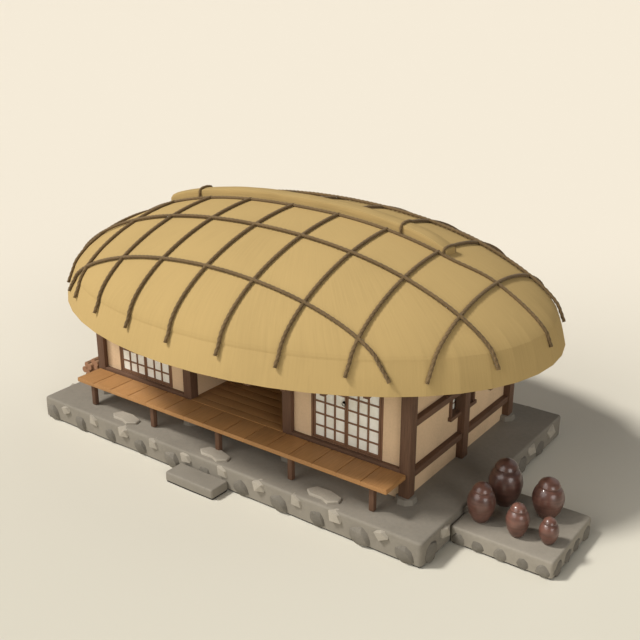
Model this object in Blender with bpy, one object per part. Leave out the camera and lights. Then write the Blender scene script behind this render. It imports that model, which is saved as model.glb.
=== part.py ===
"""Thatched farmhouse of three bays on a stone podium, with a veranda and a jar terrace.

Metres, +Z up, +X along the front, -Y the front. The origin is the centre of the podium's underside.
"""

import math

import bmesh
import bpy
from mathutils import Matrix, Vector
from mathutils.bvhtree import BVHTree

GAP = 0.0003          # clearance between pieces that touch

# Podium and stones
PODIUM = (9.0, 5.5, 0.45)
PODIUM_ROUND = 0.055
PLINTH_TOP = 0.55
TERRACE = (PODIUM[0] / 2 + GAP, 6.26, -1.83, -0.22, 0.32)

# Timber frame; the house is centred a little behind the podium's middle
HOUSE_Y = 0.095
POST = 0.20
POST_X = (-3.645, -1.213, 1.213, 3.645)
POST_Y = 1.888
PLATE_Z = (2.62, 2.80)
PLATE_W = 0.16

# Walls
WALL_T = 0.15
WALL_BACK = 0.093     # how far a wall's outer face lies behind the posts' outer faces, front and rear
END_WALL_X = 3.61
PARTITION_T = 0.14
FLOOR_Z = (0.953, 1.0)
SILL_Z = (0.90, 1.05)
RAILS_Z = ((0.86, 0.98), (1.79, 1.91))

# Doors: a pair of leaves in each side bay
BAY_X = 2.429
DOOR_HALF = 0.735
DOOR_BAR = 0.04
DOOR_HEAD = 0.145
DOOR_Z = (1.05, 2.62)
LEAF_CLEAR = 0.008
LEAF_T = 0.035
PIVOT_R = 0.010
PIVOT_DEEP = 0.015      # how far a leaf's pivots stand in the frame's sockets

# End windows: one light on each side of the middle post, within this reach of it
LIGHT_Y = 0.455
LIGHT_Z = (1.33, 1.80)

# Veranda
DECK_X = 3.693
DECK_Y = (-2.506, -1.910)
DECK_Z = (0.918, 1.003)
LEG_X = (-3.355, -1.678, 0.0, 1.678, 3.355)

# Thatch: plan semi-axes at the eave and at the crease, and the dome's rise above the crease
SEGMENTS = 48
EAVE = (2.645, 5.228, 3.72)
CREASE = (3.135, 5.071, 3.515)
DOME_RISE = 1.465
DOME_POWERS = (1.277, 0.423, 1.60, 0.54)
DOME_STEPS = (0.09, 0.19, 0.31, 0.44, 0.58, 0.72, 0.84, 0.93, 0.98, 0.998)
INNER_EAVE = (2.645, 4.90, 3.40)
INNER_CREASE = (3.02, 4.77, 3.215)
INNER_RISE = 1.33
ROPE_X = 1.034
ROPE_Y = 1.295
ROPE_W = 0.056
ROPE_H = 0.045
ROPE_LOW = 2.90
CAP_HALF_LENGTH = 3.25
CAP_FOOT, CAP_TOP, CAP_HEIGHT = 0.135, 0.09, 0.18

# Jars: centre x, y, largest radius, height
JARS = (
    (4.82, -1.40, 0.232, 0.70),
    (4.91, -0.70, 0.287, 0.84),
    (5.65, -0.66, 0.262, 0.72),
    (5.48, -1.45, 0.187, 0.58),
    (5.97, -1.36, 0.157, 0.46),
)

for old in list(bpy.data.objects):
    bpy.data.objects.remove(old, do_unlink=True)
house = bpy.data.collections.new("thatched_farmhouse")
cutters = bpy.data.collections.new("cutters")
bpy.context.scene.collection.children.link(house)
bpy.context.scene.collection.children.link(cutters)
cutters.hide_render = True


def material(name, colour, roughness, metallic=0.0):
    mat = bpy.data.materials.new(name)
    mat.use_nodes = True
    shader = mat.node_tree.nodes["Principled BSDF"]
    shader.inputs["Base Color"].default_value = (*colour, 1.0)
    shader.inputs["Roughness"].default_value = roughness
    shader.inputs["Metallic"].default_value = metallic
    return mat


def node(name, bm, mat, origin=(0.0, 0.0, 0.0), merge=True):
    """Makes one named object of the collected shapes, with its origin where it turns, if it does."""
    if merge:
        bmesh.ops.remove_doubles(bm, verts=bm.verts, dist=1e-6)
    bmesh.ops.recalc_face_normals(bm, faces=bm.faces)
    bmesh.ops.translate(bm, verts=bm.verts, vec=-Vector(origin))
    mesh = bpy.data.meshes.new(name)
    bm.to_mesh(mesh)
    bm.free()
    obj = bpy.data.objects.new(name, mesh)
    obj.location = origin
    if mat:
        mesh.materials.append(material(name, *mat))
    house.objects.link(obj)
    return obj


def cutter(name, bm):
    obj = node(name, bm, None)
    house.objects.unlink(obj)
    cutters.objects.link(obj)
    obj.hide_render = True
    obj.display_type = "WIRE"
    return obj


def boolean(obj, operation, other):
    mod = obj.modifiers.new(operation.lower(), "BOOLEAN")
    mod.operation = operation
    mod.object = other
    mod.solver = "EXACT"


def fused(name, bm, mat, key):
    """A node of overlapping shapes made one body; key is the box of one more shape that joins them."""
    obj = node(name, bm, mat, merge=False)
    extra = bmesh.new()
    box(extra, *key)
    joint = cutter(f"{name}_key", extra)
    boolean(obj, "UNION", joint)
    obj.modifiers[-1].use_self = True
    return obj


def box(bm, x, y, z, rounding=0.0, segments=2):
    """A box between the given pairs. Rounding leaves the bottom edges sharp."""
    size = (x[1] - x[0], y[1] - y[0], z[1] - z[0])
    centre = ((x[0] + x[1]) / 2, (y[0] + y[1]) / 2, (z[0] + z[1]) / 2)
    made = bmesh.ops.create_cube(bm, size=1.0)["verts"]
    bmesh.ops.scale(bm, verts=made, vec=size)
    bmesh.ops.translate(bm, verts=made, vec=centre)
    if rounding:
        edges = [
            e for e in {e for v in made for e in v.link_edges}
            if not all(abs(v.co.z - z[0]) < 1e-6 for v in e.verts)
        ]
        bmesh.ops.bevel(bm, geom=edges, offset=rounding, segments=segments, affect="EDGES", profile=0.5)
    return made


def prism(bm, outline, low, high, place=None):
    """An outline extruded from low to high; place turns (u, v, w) into a point."""
    place = place or (lambda u, v, w: (u, v, w))
    rings = [[bm.verts.new(place(u, v, w)) for u, v in outline] for w in (low, high)]
    count = len(outline)
    bm.faces.new(rings[0][::-1])
    bm.faces.new(rings[1])
    for i in range(count):
        j = (i + 1) % count
        bm.faces.new((rings[0][i], rings[0][j], rings[1][j], rings[1][i]))


def loft(bm, rings, closed=False, split=False):
    """Skins equal rings of points; the ends are capped, or joined when closed. Split makes triangles."""
    rings = [[bm.verts.new(p) for p in ring] for ring in rings]
    count = len(rings[0])
    pairs = list(zip(rings, rings[1:] + ([rings[0]] if closed else [])))
    for low, high in pairs:
        for i in range(count):
            j = (i + 1) % count
            if split:
                bm.faces.new((low[i], low[j], high[j]))
                bm.faces.new((low[i], high[j], high[i]))
            else:
                bm.faces.new((low[i], low[j], high[j], high[i]))
    if not closed:
        bm.faces.new(rings[0][::-1])
        bm.faces.new(rings[-1])


def lathe(bm, profile, centre, steps=20):
    """Spins a profile of (radius, height) about a vertical axis through centre."""
    rings = []
    for radius, height in profile:
        if radius < 1e-6:
            rings.append([bm.verts.new((centre[0], centre[1], height))])
            continue
        rings.append([
            bm.verts.new((
                centre[0] + radius * math.cos(math.tau * i / steps),
                centre[1] + radius * math.sin(math.tau * i / steps),
                height,
            ))
            for i in range(steps)
        ])
    for low, high in zip(rings, rings[1:]):
        for i in range(steps):
            j = (i + 1) % steps
            corners = [low[i % len(low)], low[j % len(low)], high[j % len(high)], high[i % len(high)]]
            corners = list(dict.fromkeys(corners))
            bm.faces.new(corners)


def upright(bm, reach, place, between, deep):
    """A round bar whose flats lie at reach from its axis, running past both given heights by deep."""
    low, high = between[0] - deep, between[1] + deep
    radius = reach / math.cos(math.pi / 16)
    ring = [(radius * math.cos(math.tau * i / 16), radius * math.sin(math.tau * i / 16)) for i in range(16)]
    prism(bm, [(place[0] + x, place[1] + y) for x, y in ring], low, high)


def ellipse(a, b, z):
    return [
        Vector((
            a * math.cos(math.tau * i / SEGMENTS),
            HOUSE_Y + b * math.sin(math.tau * i / SEGMENTS),
            z,
        ))
        for i in range(SEGMENTS)
    ]


def dome_rings(eave, crease, rise):
    pa, qa, pb, qb = DOME_POWERS
    rings = [ellipse(eave[1], eave[2], eave[0]), ellipse(crease[1], crease[2], crease[0])]
    for t in DOME_STEPS:
        a = crease[1] * (1 - t**pa) ** qa
        b = crease[2] * (1 - t**pb) ** qb
        rings.append(ellipse(a, b, crease[0] + rise * t))
    return rings


def ridge_height(x):
    pa, qa, _, _ = DOME_POWERS
    t = (1 - (abs(x) / CREASE[1]) ** (1 / qa)) ** (1 / pa)
    return CREASE[0] + DOME_RISE * min(t, DOME_STEPS[-1])


def dome(offset=0.0, low=None):
    """The thatch's outer form as one solid, moved out along its surface by offset."""
    bm = bmesh.new()
    rings = dome_rings(EAVE, CREASE, DOME_RISE)
    if low is not None:
        (z0, a0, b0), (z1, a1, b1) = EAVE, CREASE
        k = (low - z0) / (z1 - z0)
        rings[0] = ellipse(a0 + (a1 - a0) * k, b0 + (b1 - b0) * k, low)
    loft(bm, rings, split=True)
    bmesh.ops.recalc_face_normals(bm, faces=bm.faces)
    if offset:
        bm.normal_update()
        moves = [(v, v.normal.copy()) for v in bm.verts]
        for v, normal in moves:
            v.co += normal * offset
    return bm


def mirror_x(bm):
    """Adds the shapes again, mirrored to the other side of the house."""
    copied = bmesh.ops.duplicate(bm, geom=bm.verts[:] + bm.edges[:] + bm.faces[:])["geom"]
    verts = [g for g in copied if isinstance(g, bmesh.types.BMVert)]
    bmesh.ops.scale(bm, verts=verts, vec=(-1, 1, 1))


STONE = ((0.27, 0.25, 0.215), 0.9)
TIMBER = ((0.085, 0.045, 0.028), 0.75)
PLASTER = ((0.52, 0.36, 0.21), 0.95)
BOARD = ((0.52, 0.24, 0.09), 0.6)
THATCH = ((0.60, 0.43, 0.17), 1.0)
ROPE = ((0.16, 0.085, 0.04), 0.95)
GLAZE = ((0.10, 0.035, 0.022), 0.25)
PAPER = ((0.72, 0.66, 0.52), 0.9)
IRON = ((0.02, 0.02, 0.02), 0.5, 0.9)

# Wall lines
half = POST / 2
front = HOUSE_Y - POST_Y - half            # the front posts' outer faces
rear = HOUSE_Y + POST_Y + half
front_wall = (front + WALL_BACK, front + WALL_BACK + WALL_T)
rear_wall = (rear - WALL_BACK - WALL_T, rear - WALL_BACK)
end_wall = (END_WALL_X - WALL_T, END_WALL_X)
bay = (POST_X[2] + half + GAP, POST_X[3] - half - GAP)      # clear width of a side bay
hall = POST_X[2] - half - GAP
ground, top = PODIUM[2] + GAP, PLATE_Z[0] - GAP
partition_x = (POST_X[2] - PARTITION_T / 2, POST_X[2] + PARTITION_T / 2)

# Podium with its plinths and flat stones, the step and the jar terrace
bm = bmesh.new()
for x in POST_X:
    for side in (-1, 1):
        centre = Matrix.Translation((x, HOUSE_Y + side * POST_Y, PLINTH_TOP - 0.075))
        bmesh.ops.create_cone(
            bm, cap_ends=True, segments=8, radius1=0.20, radius2=0.165, depth=0.15,
            matrix=centre @ Matrix.Rotation(math.pi / 8, 4, "Z"),
        )
outline = ((-0.27, -0.06), (-0.06, -0.15), (0.29, -0.12), (0.27, 0.02), (0.10, 0.13), (-0.27, 0.11))
for cx, cy, turn in ((-2.40, -2.52, 1.0), (0.02, -2.58, -1.0), (2.44, -2.52, 1.0)):
    low = [(cx + x, cy + turn * y, 0.43) for x, y in outline]
    high = [(cx + 0.9 * x, cy + turn * 0.9 * y, 0.495) for x, y in outline]
    loft(bm, [low, high])
podium = node("podium", bm, STONE, merge=False)
bm = bmesh.new()
box(bm, (-PODIUM[0] / 2, PODIUM[0] / 2), (-PODIUM[1] / 2, PODIUM[1] / 2), (0, PODIUM[2]), PODIUM_ROUND)
boolean(podium, "UNION", cutter("podium_block", bm))
# The plinths stop at the walls, which stand on the podium itself
bm = bmesh.new()
low = (PODIUM[2], 0.70)
box(bm, (bay[0] - GAP, bay[1] + GAP), (front_wall[0] - GAP, front_wall[1] + GAP), low)
box(bm, (end_wall[0] - GAP, end_wall[1] + GAP), (front + POST, rear - POST), low)
box(bm, (partition_x[0] - GAP, partition_x[1] + GAP), (front + POST, rear - POST), low)
box(bm, (bay[0] - GAP, bay[1] + GAP), (rear_wall[0] - GAP, rear_wall[1] + GAP), low)
mirror_x(bm)
box(bm, (-hall - GAP, hall + GAP), (rear_wall[0] - GAP, rear_wall[1] + GAP), low)
box(bm, (-bay[1] - GAP, bay[1] + GAP), (rear_wall[0] - GAP, rear - POST), low)
walls = cutter("wall_feet", bm)
boolean(podium, "DIFFERENCE", walls)
podium.modifiers[-1].use_self = True

bm = bmesh.new()
box(bm, (-0.60, 0.545), (-3.18, -2.75 - GAP), (0, 0.20), 0.03)
node("step_stone", bm, STONE)

bm = bmesh.new()
box(bm, TERRACE[0:2], TERRACE[2:4], (0, TERRACE[4]), 0.025)
node("jar_terrace", bm, STONE)

for number, (x, y, r, h) in enumerate(JARS, 1):
    z = TERRACE[4] + GAP
    wall = 0.022
    outer = ((0.0, 0.0), (0.46, 0.0), (0.66, 0.09), (0.88, 0.26), (1.0, 0.45), (0.97, 0.58), (0.84, 0.71),
             (0.66, 0.80))
    profile = [(k * r, z + t * h) for k, t in outer]
    inner = [(k * r - wall, z + t * h) for k, t in outer[:1:-1]]
    bm = bmesh.new()
    lathe(bm, profile + inner + [(0.44 * r - wall, z + wall), (0.0, z + wall)], (x, y))
    node(f"jar_{number}", bm, GLAZE)
    z += 0.80 * h + GAP
    lid = ((0.0, 0.0), (0.69, 0.0), (0.69, 0.03), (0.52, 0.12), (0.22, 0.185), (0.0, 0.20))
    bm = bmesh.new()
    lathe(bm, [(k * r, z + t * h) for k, t in lid], (x, y))
    node(f"jar_{number}_lid", bm, GLAZE)

# Front and rear frames: four posts under a wall plate, with sills or rails between them
for name, side in (("front_frame", -1), ("rear_frame", 1)):
    bm = bmesh.new()
    y = HOUSE_Y + side * POST_Y
    for x in POST_X:
        box(bm, (x - half, x + half), (y - half, y + half), (PLINTH_TOP + GAP, PLATE_Z[0] + 0.05))
    if side < 0:
        for x in ((-bay[1] - 0.01, -bay[0] + 0.01), (bay[0] - 0.01, bay[1] + 0.01)):
            box(bm, x, (front + 0.005, front_wall[0] - GAP), SILL_Z)
        box(bm, (-hall - 0.01, hall + 0.01), (front + 0.005, front + 0.18), (0.80, FLOOR_Z[0] - GAP))
    else:
        for z in RAILS_Z:
            for x in ((-bay[1], -bay[0]), (-hall, hall), bay):
                box(bm, (x[0] - 0.01, x[1] + 0.01), (rear_wall[1] + GAP, rear - 0.015), z)
    plate = ((POST_X[0] - half, POST_X[3] + half), (y - PLATE_W / 2, y + PLATE_W / 2), PLATE_Z)
    fused(name, bm, TIMBER, plate)

# End frames: the middle post, the tie beam over it, rails, and the frame of the two window lights
reach = POST_Y - half - GAP
light = (HOUSE_Y - LIGHT_Y, HOUSE_Y + LIGHT_Y)
for name, side in (("left_end_frame", -1), ("right_end_frame", 1)):
    bm = bmesh.new()

    def across(near, far):
        return tuple(sorted((side * near, side * far)))

    face = END_WALL_X + 0.045
    middle_post = across(POST_X[3] - half, POST_X[3] + half)
    box(bm, middle_post, (HOUSE_Y - half, HOUSE_Y + half), (ground, PLATE_Z[0] + 0.05))
    for z in RAILS_Z:
        box(bm, across(END_WALL_X + GAP, END_WALL_X + 0.11), (front + POST + GAP, rear - POST - GAP), z)
    sill = (LIGHT_Z[0], LIGHT_Z[0] + 0.07)
    box(bm, across(end_wall[0], face), light, sill)
    box(bm, across(END_WALL_X + GAP, END_WALL_X + 0.07), (light[0] - 0.03, light[1] + 0.03), sill)
    box(bm, across(end_wall[0], face), light, (LIGHT_Z[1] - 0.045, LIGHT_Z[1]))
    for y in ((light[0], light[0] + 0.05), (light[1] - 0.05, light[1])):
        box(bm, across(end_wall[0], face), y, (LIGHT_Z[0] + 0.02, LIGHT_Z[1] - 0.02))
    beam = across(POST_X[3] - PLATE_W / 2, POST_X[3] + PLATE_W / 2)
    fused(name, bm, TIMBER, (beam, (HOUSE_Y - reach, HOUSE_Y + reach), PLATE_Z))
    bm = bmesh.new()
    box(
        bm, across(end_wall[0] + 0.04, end_wall[0] + 0.055), (light[0] + 0.05 + GAP, light[1] - 0.05 - GAP),
        (LIGHT_Z[0] + 0.07 + GAP, LIGHT_Z[1] - 0.045 - GAP),
    )
    node(name.replace("end_frame", "window_paper"), bm, PAPER)

# Front walls: each runs under the doorway and up both sides of it
jambs = (BAY_X - DOOR_HALF - GAP, BAY_X + DOOR_HALF + GAP)
for name, side in (("front_wall_left", -1), ("front_wall_right", 1)):
    bm = bmesh.new()
    outline = [(bay[0], ground), (bay[1], ground), (bay[1], top), (jambs[1], top),
               (jambs[1], DOOR_Z[0]), (jambs[0], DOOR_Z[0]), (jambs[0], top), (bay[0], top)]
    prism(bm, [(side * x, z) for x, z in outline], *front_wall, lambda u, v, w: (u, w, v))
    node(name, bm, PLASTER)

# Door frames, leaves that swing out to the veranda, and a ring pull on each pair
frame_y = (front_wall[0] - 0.008, front_wall[1] - 0.03)
leaf_y = (front_wall[0] - 0.005, front_wall[0] - 0.005 + LEAF_T)
leaf_mid = sum(leaf_y) / 2
axis_x = DOOR_HALF - DOOR_BAR - LEAF_CLEAR - LEAF_T / 2      # from the doorway's middle to a leaf's axis
for side_name, side in (("left", -1), ("right", 1)):
    centre = side * BAY_X
    edges = (centre - DOOR_HALF, centre + DOOR_HALF)
    low, high = DOOR_Z[0] + GAP, DOOR_Z[1] - GAP
    inner = (edges[0] + DOOR_BAR, edges[1] - DOOR_BAR)
    inner_z = (DOOR_Z[0] + 0.025, DOOR_Z[1] - DOOR_HEAD)
    outside = [(edges[0], low), (edges[1], low), (edges[1], high), (edges[0], high)]
    inside = [(inner[0], inner_z[0]), (inner[1], inner_z[0]), (inner[1], inner_z[1]), (inner[0], inner_z[1])]
    bm = bmesh.new()
    loft(
        bm,
        [[(o[0], frame_y[0], o[1]), (o[0], frame_y[1], o[1]),
          (i[0], frame_y[1], i[1]), (i[0], frame_y[0], i[1])] for o, i in zip(outside, inside)],
        closed=True,
    )
    door_frame = node(f"{side_name}_door_frame", bm, TIMBER)
    bm = bmesh.new()
    for leaf in (-1, 1):
        upright(bm, PIVOT_R + GAP, (centre + leaf * axis_x, leaf_mid), inner_z, PIVOT_DEEP + GAP)
    boolean(door_frame, "DIFFERENCE", cutter(f"{side_name}_sockets", bm))
    leaf_z = (inner_z[0] + LEAF_CLEAR, inner_z[1] - LEAF_CLEAR)
    # Each leaf turns on pivots above and below its heel, which is round so that it clears the frame
    for leaf_name, leaf in (("west", -1), ("east", 1)):
        axis = centre + leaf * axis_x
        heel = [(axis_x + LEAF_T / 2 * math.cos(a), LEAF_T / 2 * math.sin(a))
                for a in (math.pi * (i / 8 - 0.5) for i in range(9))]
        outline = [*heel, (LEAF_CLEAR / 2, LEAF_T / 2), (LEAF_CLEAR / 2, -LEAF_T / 2)]
        bm = bmesh.new()
        prism(bm, [(centre + leaf * x, leaf_mid + y) for x, y in outline], *leaf_z)
        panel = node(f"{side_name}_door_{leaf_name}", bm, PAPER, (axis, leaf_mid, leaf_z[0]))
        bm = bmesh.new()
        upright(bm, PIVOT_R * math.cos(math.pi / 16), (axis, leaf_mid), inner_z, PIVOT_DEEP)
        boolean(panel, "UNION", cutter(f"{side_name}_{leaf_name}_pivots", bm))
    # The pull hangs from a round plate beside the meeting stiles, on the west leaf
    px, pz = centre - 0.045, 1.90
    bm = bmesh.new()
    plate = Matrix.Translation((px, leaf_y[0] - GAP - 0.004, pz)) @ Matrix.Rotation(math.pi / 2, 4, "X")
    bmesh.ops.create_cone(
        bm, cap_ends=True, segments=16, radius1=0.024, radius2=0.024, depth=0.008, matrix=plate
    )
    ring = []
    depth = Vector((0, 1, 0))
    for i in range(20):
        around = math.tau * i / 20
        outward = Vector((math.sin(around), 0, math.cos(around)))
        middle = Vector((px, leaf_y[0] - 0.0105, pz - 0.030)) + 0.034 * outward
        turns = [math.tau * j / 6 for j in range(6)]
        ring.append([middle + 0.006 * (math.cos(a) * outward + math.sin(a) * depth) for a in turns])
    pull = node(f"{side_name}_ring_pull", bm, IRON, (centre - axis_x, leaf_mid, leaf_z[0]))
    bm = bmesh.new()
    loft(bm, ring, closed=True)
    boolean(pull, "UNION", cutter(f"{side_name}_ring", bm))

# Rear wall, grooved for the middle posts and stepped at the corners
post_face = rear - POST - GAP
outline = [(-bay[1], rear_wall[1]), (-bay[1], post_face + 2 * GAP), (-end_wall[0] + GAP, post_face + 2 * GAP),
           (-end_wall[0] + GAP, rear_wall[0]), (end_wall[0] - GAP, rear_wall[0]),
           (end_wall[0] - GAP, post_face + 2 * GAP), (bay[1], post_face + 2 * GAP), (bay[1], rear_wall[1]),
           (bay[0], rear_wall[1]), (bay[0], post_face), (hall, post_face), (hall, rear_wall[1]),
           (-hall, rear_wall[1]), (-hall, post_face), (-bay[0], post_face), (-bay[0], rear_wall[1])]
bm = bmesh.new()
prism(bm, outline, ground, top)
node("rear_wall", bm, PLASTER)

# End walls, grooved for the middle post and cut for the window
for name, side in (("left_end_wall", -1), ("right_end_wall", 1)):
    groove = POST_X[3] - half - GAP
    outline = [(end_wall[0], front_wall[1] + GAP), (POST_X[3] - half, front_wall[1] + GAP),
               (POST_X[3] - half, front + POST + GAP), (END_WALL_X, front + POST + GAP),
               (END_WALL_X, HOUSE_Y - half - GAP), (groove, HOUSE_Y - half - GAP),
               (groove, HOUSE_Y + half + GAP), (END_WALL_X, HOUSE_Y + half + GAP),
               (END_WALL_X, post_face), (end_wall[0], post_face)]
    bm = bmesh.new()
    prism(bm, [(side * x, y) for x, y in outline], ground, top)
    panel = node(name, bm, PLASTER)
    bm = bmesh.new()
    window = (light[0] - GAP, light[1] + GAP), (LIGHT_Z[0] - GAP, LIGHT_Z[1] + GAP)
    box(bm, tuple(sorted((side * 3.3, side * 3.9))), *window)
    boolean(panel, "DIFFERENCE", cutter(f"{name}_light", bm))

# Partitions beside the hall, and floors with the joists under them
for name, side in (("left_partition", -1), ("right_partition", 1)):
    bm = bmesh.new()
    box(bm, tuple(sorted((side * partition_x[0], side * partition_x[1]))),
        (front + POST + GAP, rear_wall[0] - GAP), (ground, top))
    node(name, bm, PLASTER)

wide = partition_x[0] - GAP
step = front + POST + GAP
joists = (-1.30, HOUSE_Y, 1.45)
outline = [(-hall, DECK_Y[1] + GAP), (hall, DECK_Y[1] + GAP), (hall, step), (wide, step),
           (wide, rear_wall[0] - GAP), (-wide, rear_wall[0] - GAP), (-wide, step), (-hall, step)]
bm = bmesh.new()
prism(bm, outline, *FLOOR_Z)
for y in joists[:2]:
    box(bm, (-wide, wide), (y - 0.06, y + 0.06), (0.80, FLOOR_Z[0] + 0.01))
y = joists[2]
fused("hall_floor", bm, BOARD, ((-wide, wide), (y - 0.06, y + 0.06), (0.80, FLOOR_Z[0] + 0.01)))

for name, side in (("left_room_floor", -1), ("right_room_floor", 1)):
    room_x = tuple(sorted((side * (partition_x[1] + GAP), side * (end_wall[0] - GAP))))
    bm = bmesh.new()
    box(bm, room_x, (front_wall[1] + GAP, rear_wall[0] - GAP), FLOOR_Z)
    for y in joists[:2]:
        box(bm, room_x, (y - 0.06, y + 0.06), (0.80, FLOOR_Z[0] + 0.01))
    y = joists[2]
    fused(name, bm, PLASTER, (room_x, (y - 0.06, y + 0.06), (0.80, FLOOR_Z[0] + 0.01)))

# Veranda
bm = bmesh.new()
box(bm, (-DECK_X, DECK_X), DECK_Y, DECK_Z)
node("veranda_deck", bm, BOARD)

bm = bmesh.new()
for x in LEG_X:
    box(bm, (x - 0.05, x + 0.05), (-2.42, -2.32), (ground, DECK_Z[0] - GAP - 0.02))
    box(bm, (x - 0.04, x + 0.04), (-2.40, front - 0.05), (0.87, DECK_Z[0] - GAP - 0.005))
fused("veranda_frame", bm, TIMBER, ((-3.62, 3.62), (front - 0.10, front - GAP), (0.85, DECK_Z[0] - GAP)))


def rafter(bm, start, direction, limits):
    """A bent pole: flat on the plate, falling to a flat end under the eave board."""
    start, direction = Vector((*start, 0)), Vector((*direction, 0))
    side = Vector((-direction.y, direction.x, 0))
    inner, outer = limits
    seat = PLATE_Z[1] + GAP
    eave_top = EAVE[0] - 0.0406 + 0.004
    profile = [
        (-0.38, seat + 0.055), (-0.12, seat), (0.09, seat), (inner, eave_top - 0.09),
        (outer, eave_top - 0.09), (outer, eave_top), (inner, eave_top), (0.09, seat + 0.10),
        (-0.12, seat + 0.105), (-0.38, seat + 0.15),
    ]
    prism(bm, profile, -0.045, 0.045, lambda u, v, w: start + direction * u + side * w + Vector((0, 0, v)))


def along(x, y, a, b):
    """How far a ray from (x, y), in quarter-plane terms, runs to the ellipse."""
    return a * math.sqrt(max(0.0, 1 - (y / b) ** 2)) - x


BOARD_OUT, BOARD_IN = (5.10, 3.59), (4.86, 3.35)
bm = bmesh.new()
for i in range(12):
    x = -3.3 + 0.6 * i
    for side in (-1, 1):
        ends = [along(POST_Y, x, b - k, a - k) for (a, b), k in ((BOARD_IN, 0.06), (BOARD_OUT, 0.07))]
        rafter(bm, (x, HOUSE_Y + side * POST_Y), (0, side), ends)
for offset in (-1.2, -0.4, 0.4, 1.2):
    for side in (-1, 1):
        ends = [along(POST_X[3], offset, a - k, b - k) for (a, b), k in ((BOARD_IN, 0.06), (BOARD_OUT, 0.07))]
        rafter(bm, (side * POST_X[3], HOUSE_Y + offset), (side, 0), ends)
eaves = node("eaves", bm, TIMBER, merge=False)
bm = bmesh.new()
low, high = EAVE[0] - 0.0406, EAVE[0] - GAP
corners = [ellipse(*BOARD_IN, low), ellipse(*BOARD_OUT, low),
           ellipse(*BOARD_OUT, high), ellipse(*BOARD_IN, high)]
loft(bm, [[ring[i] for ring in corners] for i in range(SEGMENTS)], closed=True)
boolean(eaves, "UNION", cutter("eave_board", bm))

# Thatch: an even shell, open below
bm = bmesh.new()
outer = dome_rings(EAVE, CREASE, DOME_RISE)
inner = dome_rings(INNER_EAVE, INNER_CREASE, INNER_RISE)
loft(bm, inner[::-1] + outer, split=True)
node("thatch_roof", bm, THATCH)

bm = bmesh.new()
loft(bm, inner)
bmesh.ops.triangulate(bm, faces=bm.faces)
inside = BVHTree.FromBMesh(bm)
bm.free()
rest = min(
    inside.ray_cast(Vector((x, HOUSE_Y + y, 3.2)), Vector((0, 0, 1)))[0].z
    for x in (-1.5, 1.5) for y in (-0.06, 0.06)
)
bm = bmesh.new()
for x in (POST_X[1], POST_X[2]):
    box(bm, (x - PLATE_W / 2, x + PLATE_W / 2), (HOUSE_Y - reach, HOUSE_Y + reach), PLATE_Z)
    box(bm, (x - 0.07, x + 0.07), (HOUSE_Y - 0.07, HOUSE_Y + 0.07), (PLATE_Z[1] - 0.03, rest - 0.10))
ridge_beam = ((-1.5, 1.5), (HOUSE_Y - 0.06, HOUSE_Y + 0.06), (rest - GAP - 0.16, rest - GAP))
fused("ridge_frame", bm, TIMBER, ridge_beam)


def cap_rings(grow, deep):
    rings = []
    for i in range(21):
        x = (CAP_HALF_LENGTH + (grow if grow > 0.001 else 0)) * (-1 + i / 10)
        z = ridge_height(min(abs(x), CAP_HALF_LENGTH))
        up = z + CAP_HEIGHT + grow
        foot, crown = CAP_FOOT + grow, CAP_TOP + grow
        section = ((-foot, z - deep), (-foot, z - 0.05), (-crown, up - 0.03), (-crown + 0.03, up),
                   (crown - 0.03, up), (crown, up - 0.03), (foot, z - 0.05), (foot, z - deep))
        rings.append([(x, HOUSE_Y + y, z2) for y, z2 in section])
    return rings


# Ridge cap of straw over the dome's crest, and the net of straw ropes
skin = cutter("thatch_skin", dome(0.0006))
bm = bmesh.new()
loft(bm, cap_rings(0.0, 0.5))
cap = node("ridge_cap", bm, THATCH)
boolean(cap, "DIFFERENCE", skin)

bm = bmesh.new()
for j in (-2, -1, 0, 1, 2):
    y = HOUSE_Y + j * ROPE_Y
    box(bm, (-5.5, 5.5), (y - ROPE_W / 2, y + ROPE_W / 2), (2.0, 5.0))
long_slabs = cutter("long_slabs", bm)
bm = bmesh.new()
for k in range(-4, 5):
    box(bm, (k * ROPE_X - ROPE_W / 2, k * ROPE_X + ROPE_W / 2), (HOUSE_Y - 4.5, HOUSE_Y + 4.5), (2.1, 4.9))
net = node("rope_net", bm, ROPE)
boolean(net, "UNION", long_slabs)
boolean(net, "INTERSECT", cutter("rope_skin", dome(ROPE_H, ROPE_LOW)))
boolean(net, "DIFFERENCE", skin)
bm = bmesh.new()
loft(bm, cap_rings(0.002, 0.7))
boolean(net, "DIFFERENCE", cutter("cap_skin", bm))

# Firewood stacked against the left end wall
bm = bmesh.new()
log_r, pitch = 0.07, 0.137
for row, count in enumerate((4, 3, 4, 3, 2)):
    for i in range(count):
        x = -3.86 - log_r - (row % 2) * pitch / 2 - i * pitch
        z = PODIUM[2] + GAP + log_r + row * pitch * math.sin(math.pi / 3)
        length = 0.92 + 0.05 * math.sin(3.1 * i + 1.7 * row)
        start = -1.80 + 0.03 * math.sin(2.3 * i + 2.9 * row)
        place = Matrix.Translation((x, start + length / 2, z)) @ Matrix.Rotation(math.pi / 2, 4, "X")
        bmesh.ops.create_cone(
            bm, cap_ends=True, segments=12, radius1=log_r / math.cos(math.pi / 12),
            radius2=log_r / math.cos(math.pi / 12), depth=length,
            matrix=place @ Matrix.Rotation(math.pi / 12, 4, "Z"),
        )
fused("firewood", bm, ((0.30, 0.16, 0.09), 0.9), ((-4.20, -3.95), (-1.45, -1.25), (0.53, 0.85)))
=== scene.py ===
"""Looks of a three-bay thatched farmhouse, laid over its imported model. Metres, +Z up, the front faces -Y."""

import math
import random

import bmesh
import bpy
from mathutils import Euler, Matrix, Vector, noise


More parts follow.
